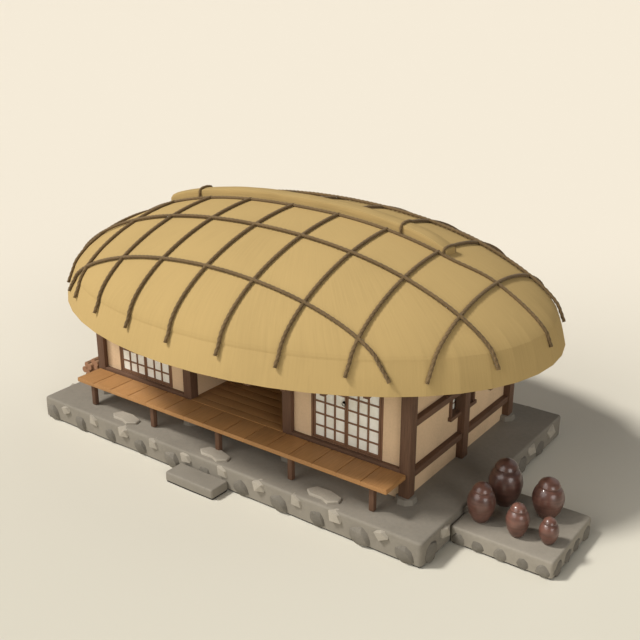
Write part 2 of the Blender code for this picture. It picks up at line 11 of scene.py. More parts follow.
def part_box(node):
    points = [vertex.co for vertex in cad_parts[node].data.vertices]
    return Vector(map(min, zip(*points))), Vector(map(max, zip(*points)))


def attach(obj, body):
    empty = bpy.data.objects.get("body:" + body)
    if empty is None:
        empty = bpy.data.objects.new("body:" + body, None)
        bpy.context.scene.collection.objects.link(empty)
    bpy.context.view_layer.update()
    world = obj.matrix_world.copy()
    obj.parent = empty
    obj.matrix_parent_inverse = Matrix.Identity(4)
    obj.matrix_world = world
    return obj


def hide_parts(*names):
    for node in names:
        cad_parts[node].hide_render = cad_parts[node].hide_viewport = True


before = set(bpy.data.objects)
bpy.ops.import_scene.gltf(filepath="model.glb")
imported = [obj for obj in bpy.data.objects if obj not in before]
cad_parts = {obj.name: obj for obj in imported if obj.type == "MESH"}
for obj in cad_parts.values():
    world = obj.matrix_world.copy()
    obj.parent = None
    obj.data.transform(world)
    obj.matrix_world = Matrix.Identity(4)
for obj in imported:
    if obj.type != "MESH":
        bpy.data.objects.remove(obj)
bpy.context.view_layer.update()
HOUSE = "house"

bl_info = {
    "name": "Thatched Farmhouse",
    "version": (1, 0, 0),
    "blender": (4, 5, 0),
    "location": "View3D > Sidebar > Farmhouse",
    "description": "Dresses the packed farmhouse in straw, timber, clay, paper and stone",
    "category": "Object",
}

# Where the house stands on its podium, and its timbers, as in the solids
MIDDLE = 0.095
POSTS = (-3.645, -1.213, 1.213, 3.645)
POST_LINE = 1.888
PLATE = (2.62, 2.80)              # bottom and top of the plates on the posts
RAILS = ((0.86, 0.98), (1.79, 1.91))
BANK = 0.45                       # the podium's height
DOOR_MIDDLE = 2.429
DOORWAY = (1.075, 2.475)
LEAF = (-1.805, -1.770)
HEEL, MEETING = 0.687, 0.004      # a leaf's edges, from the middle of its doorway
LIGHT = (1.33, 1.80, 0.455)       # an end window's sill, head and reach to each side

# The thatch: the eave's and the crease's half width, half length and height
EAVE, CREASE = (3.72, 5.228, 2.645), (3.515, 5.071, 3.135)
INNER_EAVE, INNER_CREASE = (3.40, 4.90, 2.645), (3.215, 4.77, 3.02)
RISE, INNER_RISE = 1.465, 1.33
LENGTHWISE, ACROSS = (1.277, 0.423), (1.60, 0.54)
CAP_HALF, CAP_FOOT = 3.25, 0.165
LOWEST = 0.002                    # the height that stones stop at, just over the ground
FACETS, GIRTH = 48, 28.4          # faces round the dome, and its length round the crease, which scales the straw

# The ropes: their distance apart, and the height of each one's ends, from the middle one outwards
ACROSS_PITCH, ACROSS_ENDS = 1.034, (2.97, 2.97, 2.95, 2.91, 2.83)
ALONG_PITCH, ALONG_ENDS = 1.295, (2.95, 2.91, 2.84)


def linear(text):
    """An sRGB hex colour as linear red, green and blue."""
    parts = [int(text[i:i + 2], 16) / 255 for i in (1, 3, 5)]
    return tuple(c / 12.92 if c <= 0.04045 else ((c + 0.055) / 1.055) ** 2.4 for c in parts)


def shade(colour, factor):
    return tuple(min(1.0, c * factor) for c in colour)


def add(tree, kind, **settings):
    """Adds a node. A setting names an attribute or an input, i0 being the first input; sockets are linked."""
    made = tree.nodes.new(kind)
    for key, value in settings.items():
        if hasattr(made, key):
            setattr(made, key, value)
            continue
        number = key[1:]
        socket = made.inputs[int(number)] if number.isdigit() else made.inputs[key.replace("_", " ")]
        if isinstance(value, bpy.types.NodeSocket):
            tree.links.new(value, socket)
        else:
            socket.default_value = value
    return made


def painted(name):
    """A new material, with its nodes and its shader."""
    mat = bpy.data.materials.new(name)
    mat.use_nodes = True
    return mat, mat.node_tree, mat.node_tree.nodes["Principled BSDF"]


def tune(shader, **values):
    for key, value in values.items():
        shader.inputs[key.replace("_", " ")].default_value = value


def marks(tree, where, stretch, detail, **other):
    """Noise with that many marks per metre each way."""
    at = add(tree, "ShaderNodeMapping", Vector=where, Scale=stretch)
    return add(tree, "ShaderNodeTexNoise", Vector=at.outputs[0], Scale=1.0, Detail=detail, **other).outputs[0]


def colour_by(tree, value, low, high, *colours):
    """Two or three colours spread over a value between low and high, into the shader's base colour."""
    ramp = add(tree, "ShaderNodeValToRGB", Fac=value)
    stops = ramp.color_ramp.elements
    stops[0].position, stops[1].position = low, high
    stops[0].color, stops[1].color = (*colours[0], 1), (*colours[-1], 1)
    if len(colours) == 3:
        stops.new((low + high) / 2).color = (*colours[1], 1)
    tree.links.new(ramp.outputs[0], tree.nodes["Principled BSDF"].inputs["Base Color"])
    return ramp.outputs[0]


def relieved(tree, height, strength, depth):
    bump = add(tree, "ShaderNodeBump", Height=height, Strength=strength, Distance=depth)
    tree.links.new(bump.outputs[0], tree.nodes["Principled BSDF"].inputs["Normal"])


def natural(name, colours, stretch, roughness, relief, drift, wide, uv=False, tint=0.0, spread=0.17, sheen=0.0,
            specular=0.3, metallic=0.0):
    """A grown or earthen surface: fine marks drawn out by stretch (marks per metre each way) over slow drifts."""
    mat, tree, shader = painted(name)
    where = add(tree, "ShaderNodeTexCoord").outputs
    fine = marks(tree, where["UV" if uv else "Object"], stretch, 5.0, Roughness=0.62)
    slow = add(tree, "ShaderNodeTexNoise", Vector=where["Object"], Scale=wide, Detail=3.0, Roughness=0.5)
    tone = add(tree, "ShaderNodeMix", data_type="FLOAT", i0=drift, i2=fine, i3=slow.outputs[0])
    colour = colour_by(tree, tone.outputs[0], 0.5 - spread, 0.5 + spread, *colours)
    if tint:
        # Each repeated board, stone or log keeps a shade of its own
        own = add(tree, "ShaderNodeAttribute", attribute_name="tint")
        level = add(tree, "ShaderNodeMath", operation="MULTIPLY_ADD", i0=own.outputs["Fac"], i1=tint,
                    i2=1 - tint / 2)
        own_colour = add(tree, "ShaderNodeHueSaturation", Value=level.outputs[0], Color=colour)
        tree.links.new(own_colour.outputs[0], shader.inputs["Base Color"])
    relieved(tree, fine, 0.6, relief)
    tune(shader, Roughness=roughness, Specular_IOR_Level=specular, Sheen_Weight=sheen, Metallic=metallic)
    return mat


def colour(label, what, text):
    return bpy.props.FloatVectorProperty(
        name=label, description=what, default=linear(text), subtype="COLOR", size=3, min=0, max=1)


def length(label, what, default, low, high):
    return bpy.props.FloatProperty(
        name=label, description=what, default=default, min=low, max=high, unit="LENGTH", subtype="DISTANCE")


class FarmhouseLooks(bpy.types.PropertyGroup):
    """Colours and sizes that a user would change."""

    straw: colour("Straw", "Weathered rice straw of the roof", "#b39865")
    rope: colour("Rope", "Old straw rope", "#6e5a3e")
    timber: colour("Timber", "Smoked pine posts and beams", "#694d3a")
    board: colour("Boards", "Worn pine floor and veranda boards", "#a87b4c")
    clay: colour("Clay", "Ochre clay plaster", "#d7b995")
    stone: colour("Stone", "Field stone and packed earth", "#867f73")
    glaze: colour("Glaze", "Brown ash glaze of the jars", "#66453a")
    rope_radius: length("Rope Radius", "Half the thickness of a roof rope", 0.031, 0.01, 0.05)
    board_gap: length("Board Gap", "Open joint between two veranda boards", 0.016, 0.001, 0.02)


def looks():
    return bpy.context.scene.farmhouse_looks


# Each finish: a base colour (one of the looks, or sRGB), its shades from dark to light (factors, or sRGB), marks
# per metre, roughness, relief in metres, share and scale of the slow drift, and what differs from the usual
FINISHES = {
    # Combed straw, laid down the slope: pale bundles a few centimetres wide, drawn coarser than single stalks so
    # that they show, with broad weathered patches
    "rice_straw_thatch": ("straw", (0.90, 1, 1.06), (22, 1.1, 1), 0.95, 0.005, 0.55, 0.55,
                          dict(uv=True, spread=0.2, specular=0.1)),
    # The same straw braided along the ridge, where rain has greyed it: short strokes that run lengthwise
    "rice_straw_cap": ("straw", (0.74, 0.88, 1), (1.6, 30, 1), 0.95, 0.008, 0.4, 0.9,
                       dict(uv=True, spread=0.2, specular=0.1)),
    # Three strands of darkened straw; the fibres give a matt, slightly furry edge
    "twisted_straw_rope": ("rope", (0.62, 1, 1.35), 45, 0.95, 0.004, 0.35, 1.5,
                           dict(spread=0.2, sheen=0.1, specular=0.15)),
    # Hewn pine, dark with age and smoke: long grain lines and a low, uneven polish
    "smoked_pine": ("timber", (0.68, 1, 1.22), (42, 2.2, 1), 0.72, 0.003, 0.3, 1.2, dict(uv=True, tint=0.18)),
    # The same smoke on round poles, which show flecks in place of grain
    "smoked_pine_poles": ("timber", (0.68, 1, 1.22), 14, 0.8, 0.003, 0.3, 1.2, {}),
    # Planed door wood, browner and smoother than the frame round it
    "lattice_pine": ("#7a5840", (0.75, "#7d5b43", 1.3), (60, 3, 1), 0.65, 0.001, 0.25, 3,
                     dict(uv=True, tint=0.15)),
    "lattice_pine_slim": ("#7a5840", (0.8, "#7d5b43", 1.25), 30, 0.65, 0.001, 0.25, 3, dict(tint=0.15)),
    # Bare feet and rags have polished the boards, so that they are smoother than the frame
    "worn_pine_deck": ("board", (0.80, 1, 1.12), (38, 2.4, 38), 0.5, 0.0015, 0.3, 1.4, dict(tint=0.12)),
    # Indoors the same boards stay darker and more even
    "worn_pine_hall": ("board", (0.76, 0.82, 0.88), (2.4, 38, 38), 0.5, 0.0008, 0.6, 1.4, dict(tint=0.03)),
    # The edge that everyone sits on and steps over, painted pale: a painted highlight along it
    "worn_pine_nosing": ("board", (1.3, 1.5, 1.65), (2.4, 38, 38), 0.45, 0.001, 0.3, 1.4, {}),
    # Hand-trowelled clay with chopped straw: soft patches, fine grit, no shine
    "clay_plaster": ("clay", (0.86, 1, 1.08), 26, 0.95, 0.004, 0.6, 1.1, dict(spread=0.16, specular=0.15)),
    # Oiled paper over the rooms' earth floors, honey-coloured with a dull gloss
    "oiled_floor_paper": ("#b78f4e", (0.9, "#c29a58"), 9, 0.4, 0.0005, 0.6, 2.0, dict(spread=0.12)),
    # Pale paper with long loose fibres, matt; the drift gives the cloudy patches
    "mulberry_paper": ("#e6e0cf", (1, "#f1ede0", "#f8f5ec"), 18, 0.9, 0.0006, 0.7, 5.0,
                       dict(spread=0.2, specular=0.2)),
    # Rammed earth and rubble: soft grey-brown patches with a gritty edge; the terrace's copy is painted paler,
    # painted light where the lamps leave it in shade
    "packed_earth_bank": ("stone", (0.88, 1, 1.08), 14, 0.92, 0.006, 0.6, 0.9, dict(specular=0.2)),
    "swept_earth_terrace": ("stone", (1.06, 1.2, 1.3), 14, 0.92, 0.006, 0.6, 0.9, dict(specular=0.2)),
    # Painted shade: the stone colour painted nearly black on the lowest few centimetres, a thin dark line that
    # stands in for the shadow under the foot
    "damp_foot": ("stone", (0.06, 0.10), 14, 0.8, 0.003, 0.6, 0.9, dict(spread=0.12)),
    # Granite: fresh splits are pale and sparkle finely, river boulders dark, and the step is rubbed even
    "pale_granite": ("stone", (1.32, 1.48, 1.62), 40, 0.85, 0.003, 0.4, 4, dict(tint=0.2)),
    "flat_granite": ("stone", (1.45, 1.60, 1.75), 30, 0.85, 0.003, 0.4, 4, {}),
    "dark_granite": ("stone", (0.60, 0.70, 0.80), 30, 0.85, 0.004, 0.4, 4, dict(tint=0.24)),
    "dressed_granite": ("stone", (0.86, 0.98, 1.1), 55, 0.8, 0.002, 0.4, 3, {}),
    # Scaly bark, furrowed along each log
    "log_bark": ("#6a523c", (1, "#98765a", "#b8966f"), (30, 3, 30), 0.95, 0.008, 0.3, 4,
                 dict(tint=0.4, spread=0.2)),
    # Hammered iron, nearly black with a dull shine
    "forged_iron": ("#141312", (1, "#24211f"), 90, 0.55, 0.0006, 0.3, 9, dict(spread=0.12, metallic=1.0)),
}


def finish(name):
    """The material of that name, made the first time it is asked for."""
    if name in bpy.data.materials:
        return bpy.data.materials[name]
    base, shades, stretch, *amounts, other = FINISHES[name]
    base = linear(base) if base.startswith("#") else tuple(getattr(looks(), base))
    colours = [linear(tone) if isinstance(tone, str) else shade(base, tone) for tone in shades]
    return natural(name, colours, stretch if isinstance(stretch, tuple) else (stretch,) * 3, *amounts, **other)


def ash_glaze(name, depth):
    """Brown ash glaze on earthenware: glossy, thin and reddish on the shoulder, pooled dark lower down."""
    mat, tree, shader = painted(name)
    brown = shade(tuple(looks().glaze), depth)
    where = add(tree, "ShaderNodeTexCoord").outputs["Object"]
    rings = marks(tree, where, (1.5, 1.5, 26), 4.0)
    runs = add(tree, "ShaderNodeTexNoise", Vector=where, Scale=7.0, Detail=4.0)
    tone = add(tree, "ShaderNodeMix", data_type="FLOAT", i0=0.5, i2=rings, i3=runs.outputs[0])
    colour_by(tree, tone.outputs[0], 0.36, 0.66, shade(brown, 0.62), shade(brown, 1.25))
    relieved(tree, rings, 0.4, 0.002)
    tune(shader, Roughness=0.34, Coat_Weight=0.35, Coat_Roughness=0.12)
    return mat


def sawn_ends(name):
    """The sawn ends of logs: growth rings about each heart, which the piece's own UV map centres."""
    mat, tree, shader = painted(name)
    where = add(tree, "ShaderNodeTexCoord").outputs["UV"]
    rings = add(tree, "ShaderNodeTexWave", wave_type="RINGS", rings_direction="Z", Vector=where, Scale=34.0,
                Distortion=1.5, Detail=2.0)
    colour_by(tree, rings.outputs["Fac"], 0.0, 1.0, linear("#8a6146"), linear("#a87c5c"))
    tune(shader, Roughness=0.9)
    return mat


def piece(name, shape, finishes=(), smooth=40.0, body=HOUSE, stands_for=()):
    """A finished piece at the origin, riding on its body and standing for its nodes.

    The shape is a bmesh, a list of grown meshes or a mesh; edges under the angle are shaded smooth.
    """
    mesh = shape
    if isinstance(shape, list):
        mesh = joined(name, shape, smooth)
    elif isinstance(shape, bmesh.types.BMesh):
        mesh = mesh_of(shape, name, smooth)
    for made in finishes:
        mesh.materials.append(finish(made))
    obj = bpy.data.objects.new(name, mesh)
    bpy.context.scene.collection.objects.link(obj)
    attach(obj, body)
    if stands_for:
        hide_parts(*stands_for)


def plain_mesh(bm, name):
    mesh = bpy.data.meshes.new(name)
    bm.to_mesh(mesh)
    bm.free()
    return mesh


def mesh_of(bm, name, smooth=40.0):
    """The collected shapes as a mesh, facing out."""
    bmesh.ops.recalc_face_normals(bm, faces=bm.faces)
    return smoothed(plain_mesh(bm, name), smooth)


def smoothed(mesh, angle):
    mesh.shade_smooth()
    mesh.set_sharp_from_angle(angle=math.radians(angle))
    return mesh


def dress(node, name):
    """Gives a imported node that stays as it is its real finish."""
    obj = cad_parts[node]
    if not obj.material_slots:
        obj.data.materials.append(None)
    for held in obj.material_slots:
        held.material = finish(name)


def ring_at(x, y, a, b, z, count, start=0.0):
    """Points round an oval about x and y; start turns them by a share of a step."""
    turns = [math.tau * (i + start) / count for i in range(count)]
    return [(x + a * math.cos(turn), y + b * math.sin(turn), z) for turn in turns]


def loft(bm, rings, mark=None):
    """Skins equal rings of points between two end faces; mark gives a corner's UV by its ring and step round."""
    uv = bm.loops.layers.uv.verify() if mark else None
    rings = [[bm.verts.new(p) for p in ring] for ring in rings]
    count = len(rings[0])
    for r, (low, high) in enumerate(zip(rings, rings[1:])):
        for i in range(count):
            j = (i + 1) % count
            face = bm.faces.new((low[i], low[j], high[j], high[i]))
            for corner, spot in zip(face.loops, ((r, i), (r, i + 1), (r + 1, i + 1), (r + 1, i))):
                if mark:
                    corner[uv].uv = mark(*spot)
    bm.faces.new(rings[0][::-1])
    bm.faces.new(rings[-1])
    return rings


def member(bm, low, high, along, edge):
    """One squared timber between two corners, with eased edges and its grain along the given axis; its faces."""
    uv = bm.loops.layers.uv.verify()
    low, high = Vector(map(min, low, high)), Vector(map(max, low, high))
    made = bmesh.ops.create_cube(bm, size=1.0)["verts"]
    for v in made:
        v.co = Vector((low[i] + high[i]) / 2 + v.co[i] * (high[i] - low[i]) for i in range(3))
    edges = list(dict.fromkeys(e for v in made for e in v.link_edges))
    edge = min(edge, min(high - low) * 0.3)
    bevelled = bmesh.ops.bevel(bm, geom=edges, offset=edge, segments=2, affect="EDGES", profile=0.6)
    faces = {f for v in bevelled["verts"] for f in v.link_faces}
    shift = Vector((math.sin(low.x * 91 + low.z * 37), math.cos(low.y * 57 + high.z * 23))) * 7
    others = [i for i in range(3) if i != along]
    for face in faces:
        for corner in face.loops:
            p = corner.vert.co
            corner[uv].uv = (p[others[0]] + 0.7 * p[others[1]] + shift.x, p[along] + shift.y)
    return faces


def timber(name, members, stands_for, material="smoked_pine"):
    """A piece made of members given as (low corner, high corner, grain axis, eased edge)."""
    bm = bmesh.new()
    for part in members:
        member(bm, *part)
    piece(name, bm, [material], 50, stands_for=[stands_for])


# Geometry Nodes: one tree for what stands in a row, one for rope


def new_tree(name, inputs):
    """A tree that takes a shape and the named inputs, and those inputs' sockets."""
    tree = bpy.data.node_groups.new(name, "GeometryNodeTree")
    for label, kind, default in (("Geometry", "Geometry", None), *inputs, ("Material", "Material", None)):
        made = tree.interface.new_socket(label, in_out="INPUT", socket_type=f"NodeSocket{kind}")
        if default is not None:
            made.default_value = default
    tree.interface.new_socket("Geometry", in_out="OUTPUT", socket_type="NodeSocketGeometry")
    return tree, add(tree, "NodeGroupInput").outputs


def geo(tree, kind, **settings):
    """The first output of a new geometry node."""
    return add(tree, f"GeometryNode{kind}", **settings).outputs[0]


def calc(tree, kind, operation, **inputs):
    """The result of a new Math or VectorMath node."""
    return add(tree, f"ShaderNode{kind}", operation=operation, **inputs).outputs[0]


def row_tree():
    """Sets copies of the object's own mesh along a line, each turned, sized and roughened a little."""
    if "stand_in_a_row" in bpy.data.node_groups:
        return bpy.data.node_groups["stand_in_a_row"]
    tree, given = new_tree("stand_in_a_row", (
        ("Count", "Int", 1), ("Start", "Vector", None), ("Step", "Vector", None), ("Turn", "Vector", None),
        ("Wander", "Vector", None), ("Size Spread", "Float", 0.0), ("Roughen", "Float", 0.0),
        ("Lump Size", "Float", 0.1), ("Seed", "Int", 1)))

    def chance(kind, output, **limits):
        return add(tree, "FunctionNodeRandomValue", data_type=kind, Seed=given["Seed"], **limits).outputs[output]

    def astray(reach):
        return chance("FLOAT_VECTOR", 0, i0=calc(tree, "VectorMath", "SCALE", i0=reach, Scale=-1.0), i1=reach)

    line = geo(tree, "MeshLine", mode="OFFSET", Count=given["Count"], Start_Location=given["Start"],
               Offset=given["Step"])
    spots = geo(tree, "SetPosition", Geometry=line, Offset=astray(given["Wander"]))
    small = calc(tree, "Math", "SUBTRACT", i0=1.0, i1=given["Size Spread"])
    large = calc(tree, "Math", "ADD", i0=1.0, i1=given["Size Spread"])
    copies = geo(tree, "InstanceOnPoints", Points=spots, Instance=given["Geometry"],
                 Rotation=astray(given["Turn"]), Scale=chance("FLOAT", 1, i2=small, i3=large))
    tinted = geo(tree, "StoreNamedAttribute", data_type="FLOAT", domain="INSTANCE", Geometry=copies, Name="tint",
                 Value=chance("FLOAT", 1))
    real = geo(tree, "RealizeInstances", Geometry=tinted)
    lumps = calc(tree, "VectorMath", "DIVIDE", i0=geo(tree, "InputPosition"), i1=given["Lump Size"])
    rough = add(tree, "ShaderNodeTexNoise", Vector=lumps, Scale=1.0, Detail=2.0)
    level = calc(tree, "VectorMath", "SUBTRACT", i0=rough.outputs["Color"], i1=(0.5, 0.5, 0.5))
    shift = calc(tree, "VectorMath", "SCALE", i0=level, Scale=given["Roughen"])
    worn = geo(tree, "SetPosition", Geometry=real, Offset=shift)
    add(tree, "NodeGroupOutput", i0=geo(tree, "SetMaterial", Geometry=worn, Material=given["Material"]))
    return tree


def rope_tree():
    """Lays a twisted rope of three strands along the object's edges."""
    if "lay_rope" in bpy.data.node_groups:
        return bpy.data.node_groups["lay_rope"]
    tree, given = new_tree("lay_rope", (
        ("Radius", "Float", 0.03), ("Pitch", "Float", 0.3), ("Spacing", "Float", 0.04),
        ("Strand Depth", "Float", 0.14)))
    path = geo(tree, "MeshToCurve", Mesh=given["Geometry"])
    even = geo(tree, "ResampleCurve", mode="LENGTH", Curve=path, Length=given["Spacing"])
    along = add(tree, "GeometryNodeSplineParameter").outputs["Length"]
    turns = calc(tree, "Math", "DIVIDE", i0=along, i1=given["Pitch"])
    twisted = geo(tree, "SetCurveTilt", Curve=even, Tilt=calc(tree, "Math", "MULTIPLY", i0=turns, i1=math.tau))
    ring = geo(tree, "CurvePrimitiveCircle", Resolution=12, Radius=given["Radius"])
    # Every fourth of the twelve points is the crown of a strand
    quarter = calc(tree, "Math", "MULTIPLY", i0=geo(tree, "InputIndex"), i1=math.pi / 2)
    lobe = calc(tree, "Math", "MULTIPLY", i0=calc(tree, "Math", "COSINE", i0=quarter), i1=given["Strand Depth"])
    offset = calc(tree, "VectorMath", "SCALE", i0=geo(tree, "InputPosition"), Scale=lobe)
    strands = geo(tree, "SetPosition", Geometry=ring, Offset=offset)
    skin = geo(tree, "CurveToMesh", Curve=twisted, Profile_Curve=strands, Fill_Caps=True)
    real = geo(tree, "RealizeInstances", Geometry=skin)
    add(tree, "NodeGroupOutput", i0=geo(tree, "SetMaterial", Geometry=real, Material=given["Material"]))
    return tree


def grown(mesh, tree, **inputs):
    """The mesh that a tree makes of another mesh, as plain data."""
    obj = bpy.data.objects.new("grower", mesh)
    bpy.context.scene.collection.objects.link(obj)
    mod = obj.modifiers.new("grow", "NODES")
    mod.node_group = tree
    names = {item.name: item.identifier for item in tree.interface.items_tree if item.in_out == "INPUT"}
    for key, value in inputs.items():
        mod[names[key.replace("_", " ")]] = value
    graph = bpy.context.evaluated_depsgraph_get()
    made = bpy.data.meshes.new_from_object(
        obj.evaluated_get(graph), preserve_all_data_layers=True, depsgraph=graph)
    obj.modifiers.clear()
    bpy.data.objects.remove(obj)
    # The grower's own empty slot goes, so that the one finish is left
    made.materials.clear()
    made.materials.append(inputs["Material"])
    made.polygons.foreach_set("material_index", [0] * len(made.polygons))
    return made


def row(unit, material, count, start, step, turn=(0, 0, 0), wander=(0, 0, 0), spread=0.0, roughen=0.0, lump=0.1,
        seed=1):
    return grown(unit, row_tree(), Count=count, Start=start, Step=step, Turn=turn, Wander=wander,
                 Size_Spread=spread, Roughen=roughen, Lump_Size=lump, Seed=seed, Material=finish(material))


def joined(name, meshes, smooth):
    """Several grown meshes as one, keeping each one's material and tint."""
    bm = bmesh.new()
    materials = []
    for mesh in meshes:
        mat = mesh.materials[0]
        if mat not in materials:
            materials.append(mat)
        first = len(bm.faces)
        bm.from_mesh(mesh)
        bm.faces.ensure_lookup_table()
        for face in bm.faces[first:]:
            face.material_index = materials.index(mat)
    # Nothing reaches under the ground: a stone that would is flat underneath
    for v in bm.verts:
        v.co.z = max(v.co.z, LOWEST)
    made = plain_mesh(bm, name)
    for mat in materials:
        made.materials.append(mat)
    return smoothed(made, smooth)


def plank(size, edge):
    """One eased board or bar about the origin."""
    bm = bmesh.new()
    made = bmesh.ops.create_cube(bm, size=1.0)["verts"]
    bmesh.ops.scale(bm, verts=made, vec=size)
    bmesh.ops.bevel(bm, geom=bm.edges[:], offset=edge, segments=2, affect="EDGES", profile=0.6)
    return mesh_of(bm, "plank")


def slab(low, high, edge, material):
    """One eased board between two corners."""
    size = [b - a for a, b in zip(low, high)]
    return row(plank(size, edge), material, 1, [(a + b) / 2 for a, b in zip(low, high)], (0, 0, 0))


def rock(size, lumps, seed, detail, limit):
    """One field stone about the origin; past the limit, each way is drawn in, as on a split stone."""
    bm = bmesh.new()
    bmesh.ops.create_icosphere(bm, subdivisions=detail, radius=1.0)
    for v in bm.verts:
        push = 1 + lumps * noise.noise(v.co * 1.3 + Vector((seed * 7.1, seed * 3.3, seed)))
        p = v.co * push
        p = Vector(math.copysign(min(abs(c), limit) + 0.25 * max(0.0, abs(c) - limit), c) for c in p)
        v.co = Vector(p[i] * size[i] for i in range(3))
    return mesh_of(bm, "rock", 28)


def corner_outline(x, y, radius):
    """A rectangle between the pairs x and y with round corners: points about 0.16 m apart, with their way out."""
    points = []
    for cx, cy, start in ((x[1], y[1], 0), (x[0], y[1], 1), (x[0], y[0], 2), (x[1], y[0], 3)):
        heart = Vector((cx - math.copysign(radius, cx - sum(x) / 2), cy - math.copysign(radius, cy - sum(y) / 2)))
        for i in range(5):
            a = math.pi / 2 * (start + i / 4)
            out = Vector((math.cos(a), math.sin(a)))
            points.append((heart + radius * out, out))
    dense = []
    for (p, out), (q, then) in zip(points, points[1:] + points[:1]):
        steps = max(1, round((q - p).length / 0.16))
        dense += [(p.lerp(q, i / steps), out.lerp(then, i / steps).normalized()) for i in range(steps)]
    return dense


def block(x, y, high, edge, uneven, undercut, seed=0.0):
    """A block of stone or packed earth: worn top edges, slightly uneven sides, and a foot that steps in and is
    painted dark as painted shade.
    """
    levels = [(0.0, undercut), (0.026, undercut), (0.036, 0.0), (0.5 * high, 0.0)]
    levels += [(high - edge + edge * math.sin(a), edge * (1 - math.cos(a)))
               for a in (math.pi / 2 * i / 5 for i in range(6))]
    rings = []
    for z, inset in levels:
        ring = []
        for p, out in corner_outline(x, y, edge * 1.4):
            wave = noise.noise(Vector((p.x * 1.7 + seed, p.y * 1.7, z * 3)))
            at = p - out * (inset - uneven * wave)
            ring.append((at.x, at.y, z + (0.0 if z < 0.01 or z > high - 0.001 else uneven * 0.4 * wave)))
        rings.append(ring)
    bm = bmesh.new()
    loft(bm, rings)
    # Faces of the lowest few centimetres take the second finish, painted shade along the foot
    for face in bm.faces:
        face.material_index = int(max(v.co.z for v in face.verts) < 0.045)
    return bm


def stones(kind, size, form, count, *laid):
    """A row of field stones of a kind, each half that size; form picks the shape."""
    material, lumps, detail, limit = kind
    return row(rock(size, lumps, form, detail, limit), material, count, *laid)


# Kinds of field stone: finish, lumps, detail, and the limit past which each way is drawn in
SPLIT = ("pale_granite", 0.45, 1, 0.6)
BOULDER = ("dark_granite", 0.22, 2, 0.85)


class FARMHOUSE_OT_ground_works(bpy.types.Operator):
    """Make the podium with its edging and flat stones, the step and the jar terrace"""

    bl_idname = "farmhouse.ground_works"
    bl_label = "Ground Works"

    def execute(self, context):
        bm = block((-4.5, 4.5), (-2.75, 2.75), BANK, 0.045, 0.012, 0.03)
        for x in POSTS:
            for side in (-1, 1):
                loft(bm, [ring_at(x, MIDDLE + side * POST_LINE, r, r, z, 8, 0.5)
                          for z, r in ((0.40, 0.205), (0.52, 0.178), (0.543, 0.170), (0.55, 0.155))])
        piece("podium_bank", bm, ["packed_earth_bank", "damp_foot"], stands_for=["podium"])

        # Each side: pale split stones under the top edge, and dark boulders at the foot
        pale, dark = [], []
        for side in (-1, 1):
            long_split, short_split = side * 2.69, side * 4.44
            long_foot, short_foot = side * 2.672, side * 4.422
            for kept, kind, size, form, count, start, step, stray, seed in (
                (pale, SPLIT, (0.19, 0.17, 0.15), 1, 10, (-3.84, long_split, 0.340), (0.843, 0, 0),
                 (0.05, 0.008, 0.012), 3),
                (pale, SPLIT, (0.17, 0.19, 0.15), 3, 6, (short_split, -2.05, 0.315), (0, 0.843, 0),
                 (0.008, 0.05, 0.012), 13),
                (dark, BOULDER, (0.235, 0.155, 0.20), 2, 11, (-4.26, long_foot, 0.150), (0.847, 0, 0),
                 (0.03, 0.006, 0.008), 8),
                (dark, BOULDER, (0.155, 0.235, 0.20), 4, 6, (short_foot, -2.46, 0.150), (0, 0.847, 0),
                 (0.006, 0.03, 0.008), 18),
            ):
                turn = [0.06, 0.06, 0.06]
                turn[1 - step.index(max(step))] = 0.35
                kept.append(stones(kind, size, form, count, start, step, turn, stray, 0.10, 0.03, 0.12,
                                   seed + side))
        piece("podium_edging_stones", pale, smooth=20)
        piece("podium_boulders", dark, smooth=28)

        bm = bmesh.new()
        outline = ((-0.33, -0.04), (-0.22, -0.13), (0.02, -0.12), (0.20, -0.19), (0.34, -0.07), (0.31, 0.06),
                   (0.05, 0.14), (-0.24, 0.12))
        for cx, cy in ((-2.36, -2.46), (0.04, -2.52), (2.46, -2.48)):
            loft(bm, [[(cx + k * x, cy + k * y, z) for x, y in outline]
                      for k, z in ((1.0, 0.44), (1.0, 0.487), (0.95, 0.500))])
        piece("flat_stones", bm, ["flat_granite"])
        piece("worn_step", block((-0.60, 0.545), (-3.18, -2.752), 0.20, 0.03, 0.01, 0.012, 3.0),
              ["dressed_granite", "damp_foot"], stands_for=["step_stone"])

        (x0, y0, _), (x1, y1, high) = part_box("jar_terrace")
        # The terrace takes a paler copy of the earth finish: painted light
        piece("terrace_bank", block((x0 + 0.002, x1), (y0, y1), high, 0.035, 0.012, 0.03, 5.0),
              ["swept_earth_terrace", "damp_foot"], stands_for=["jar_terrace"])
        # Boulders along the front, the back and the free end, sunk by the same measure into each side
        sunk, level, settings = 0.075, 0.115, (0.08, 0.02, 0.12)
        ring = [stones(BOULDER, (0.165, 0.12, 0.145), 5, 5, (x0 + 0.15, y, level), (0.37, 0, 0), (0.1, 0.3, 0.1),
                       (0.02, 0.004, 0.008), *settings, 4) for y in (y0 + sunk, y1 - sunk)]
        ring.append(stones(BOULDER, (0.12, 0.165, 0.145), 6, 4, (x1 - sunk, y0 + 0.22, level), (0, 0.39, 0),
                           (0.3, 0.1, 0.1), (0.004, 0.02, 0.008), *settings, 6))
        piece("terrace_stones", ring, smooth=28)
        return {"FINISHED"}


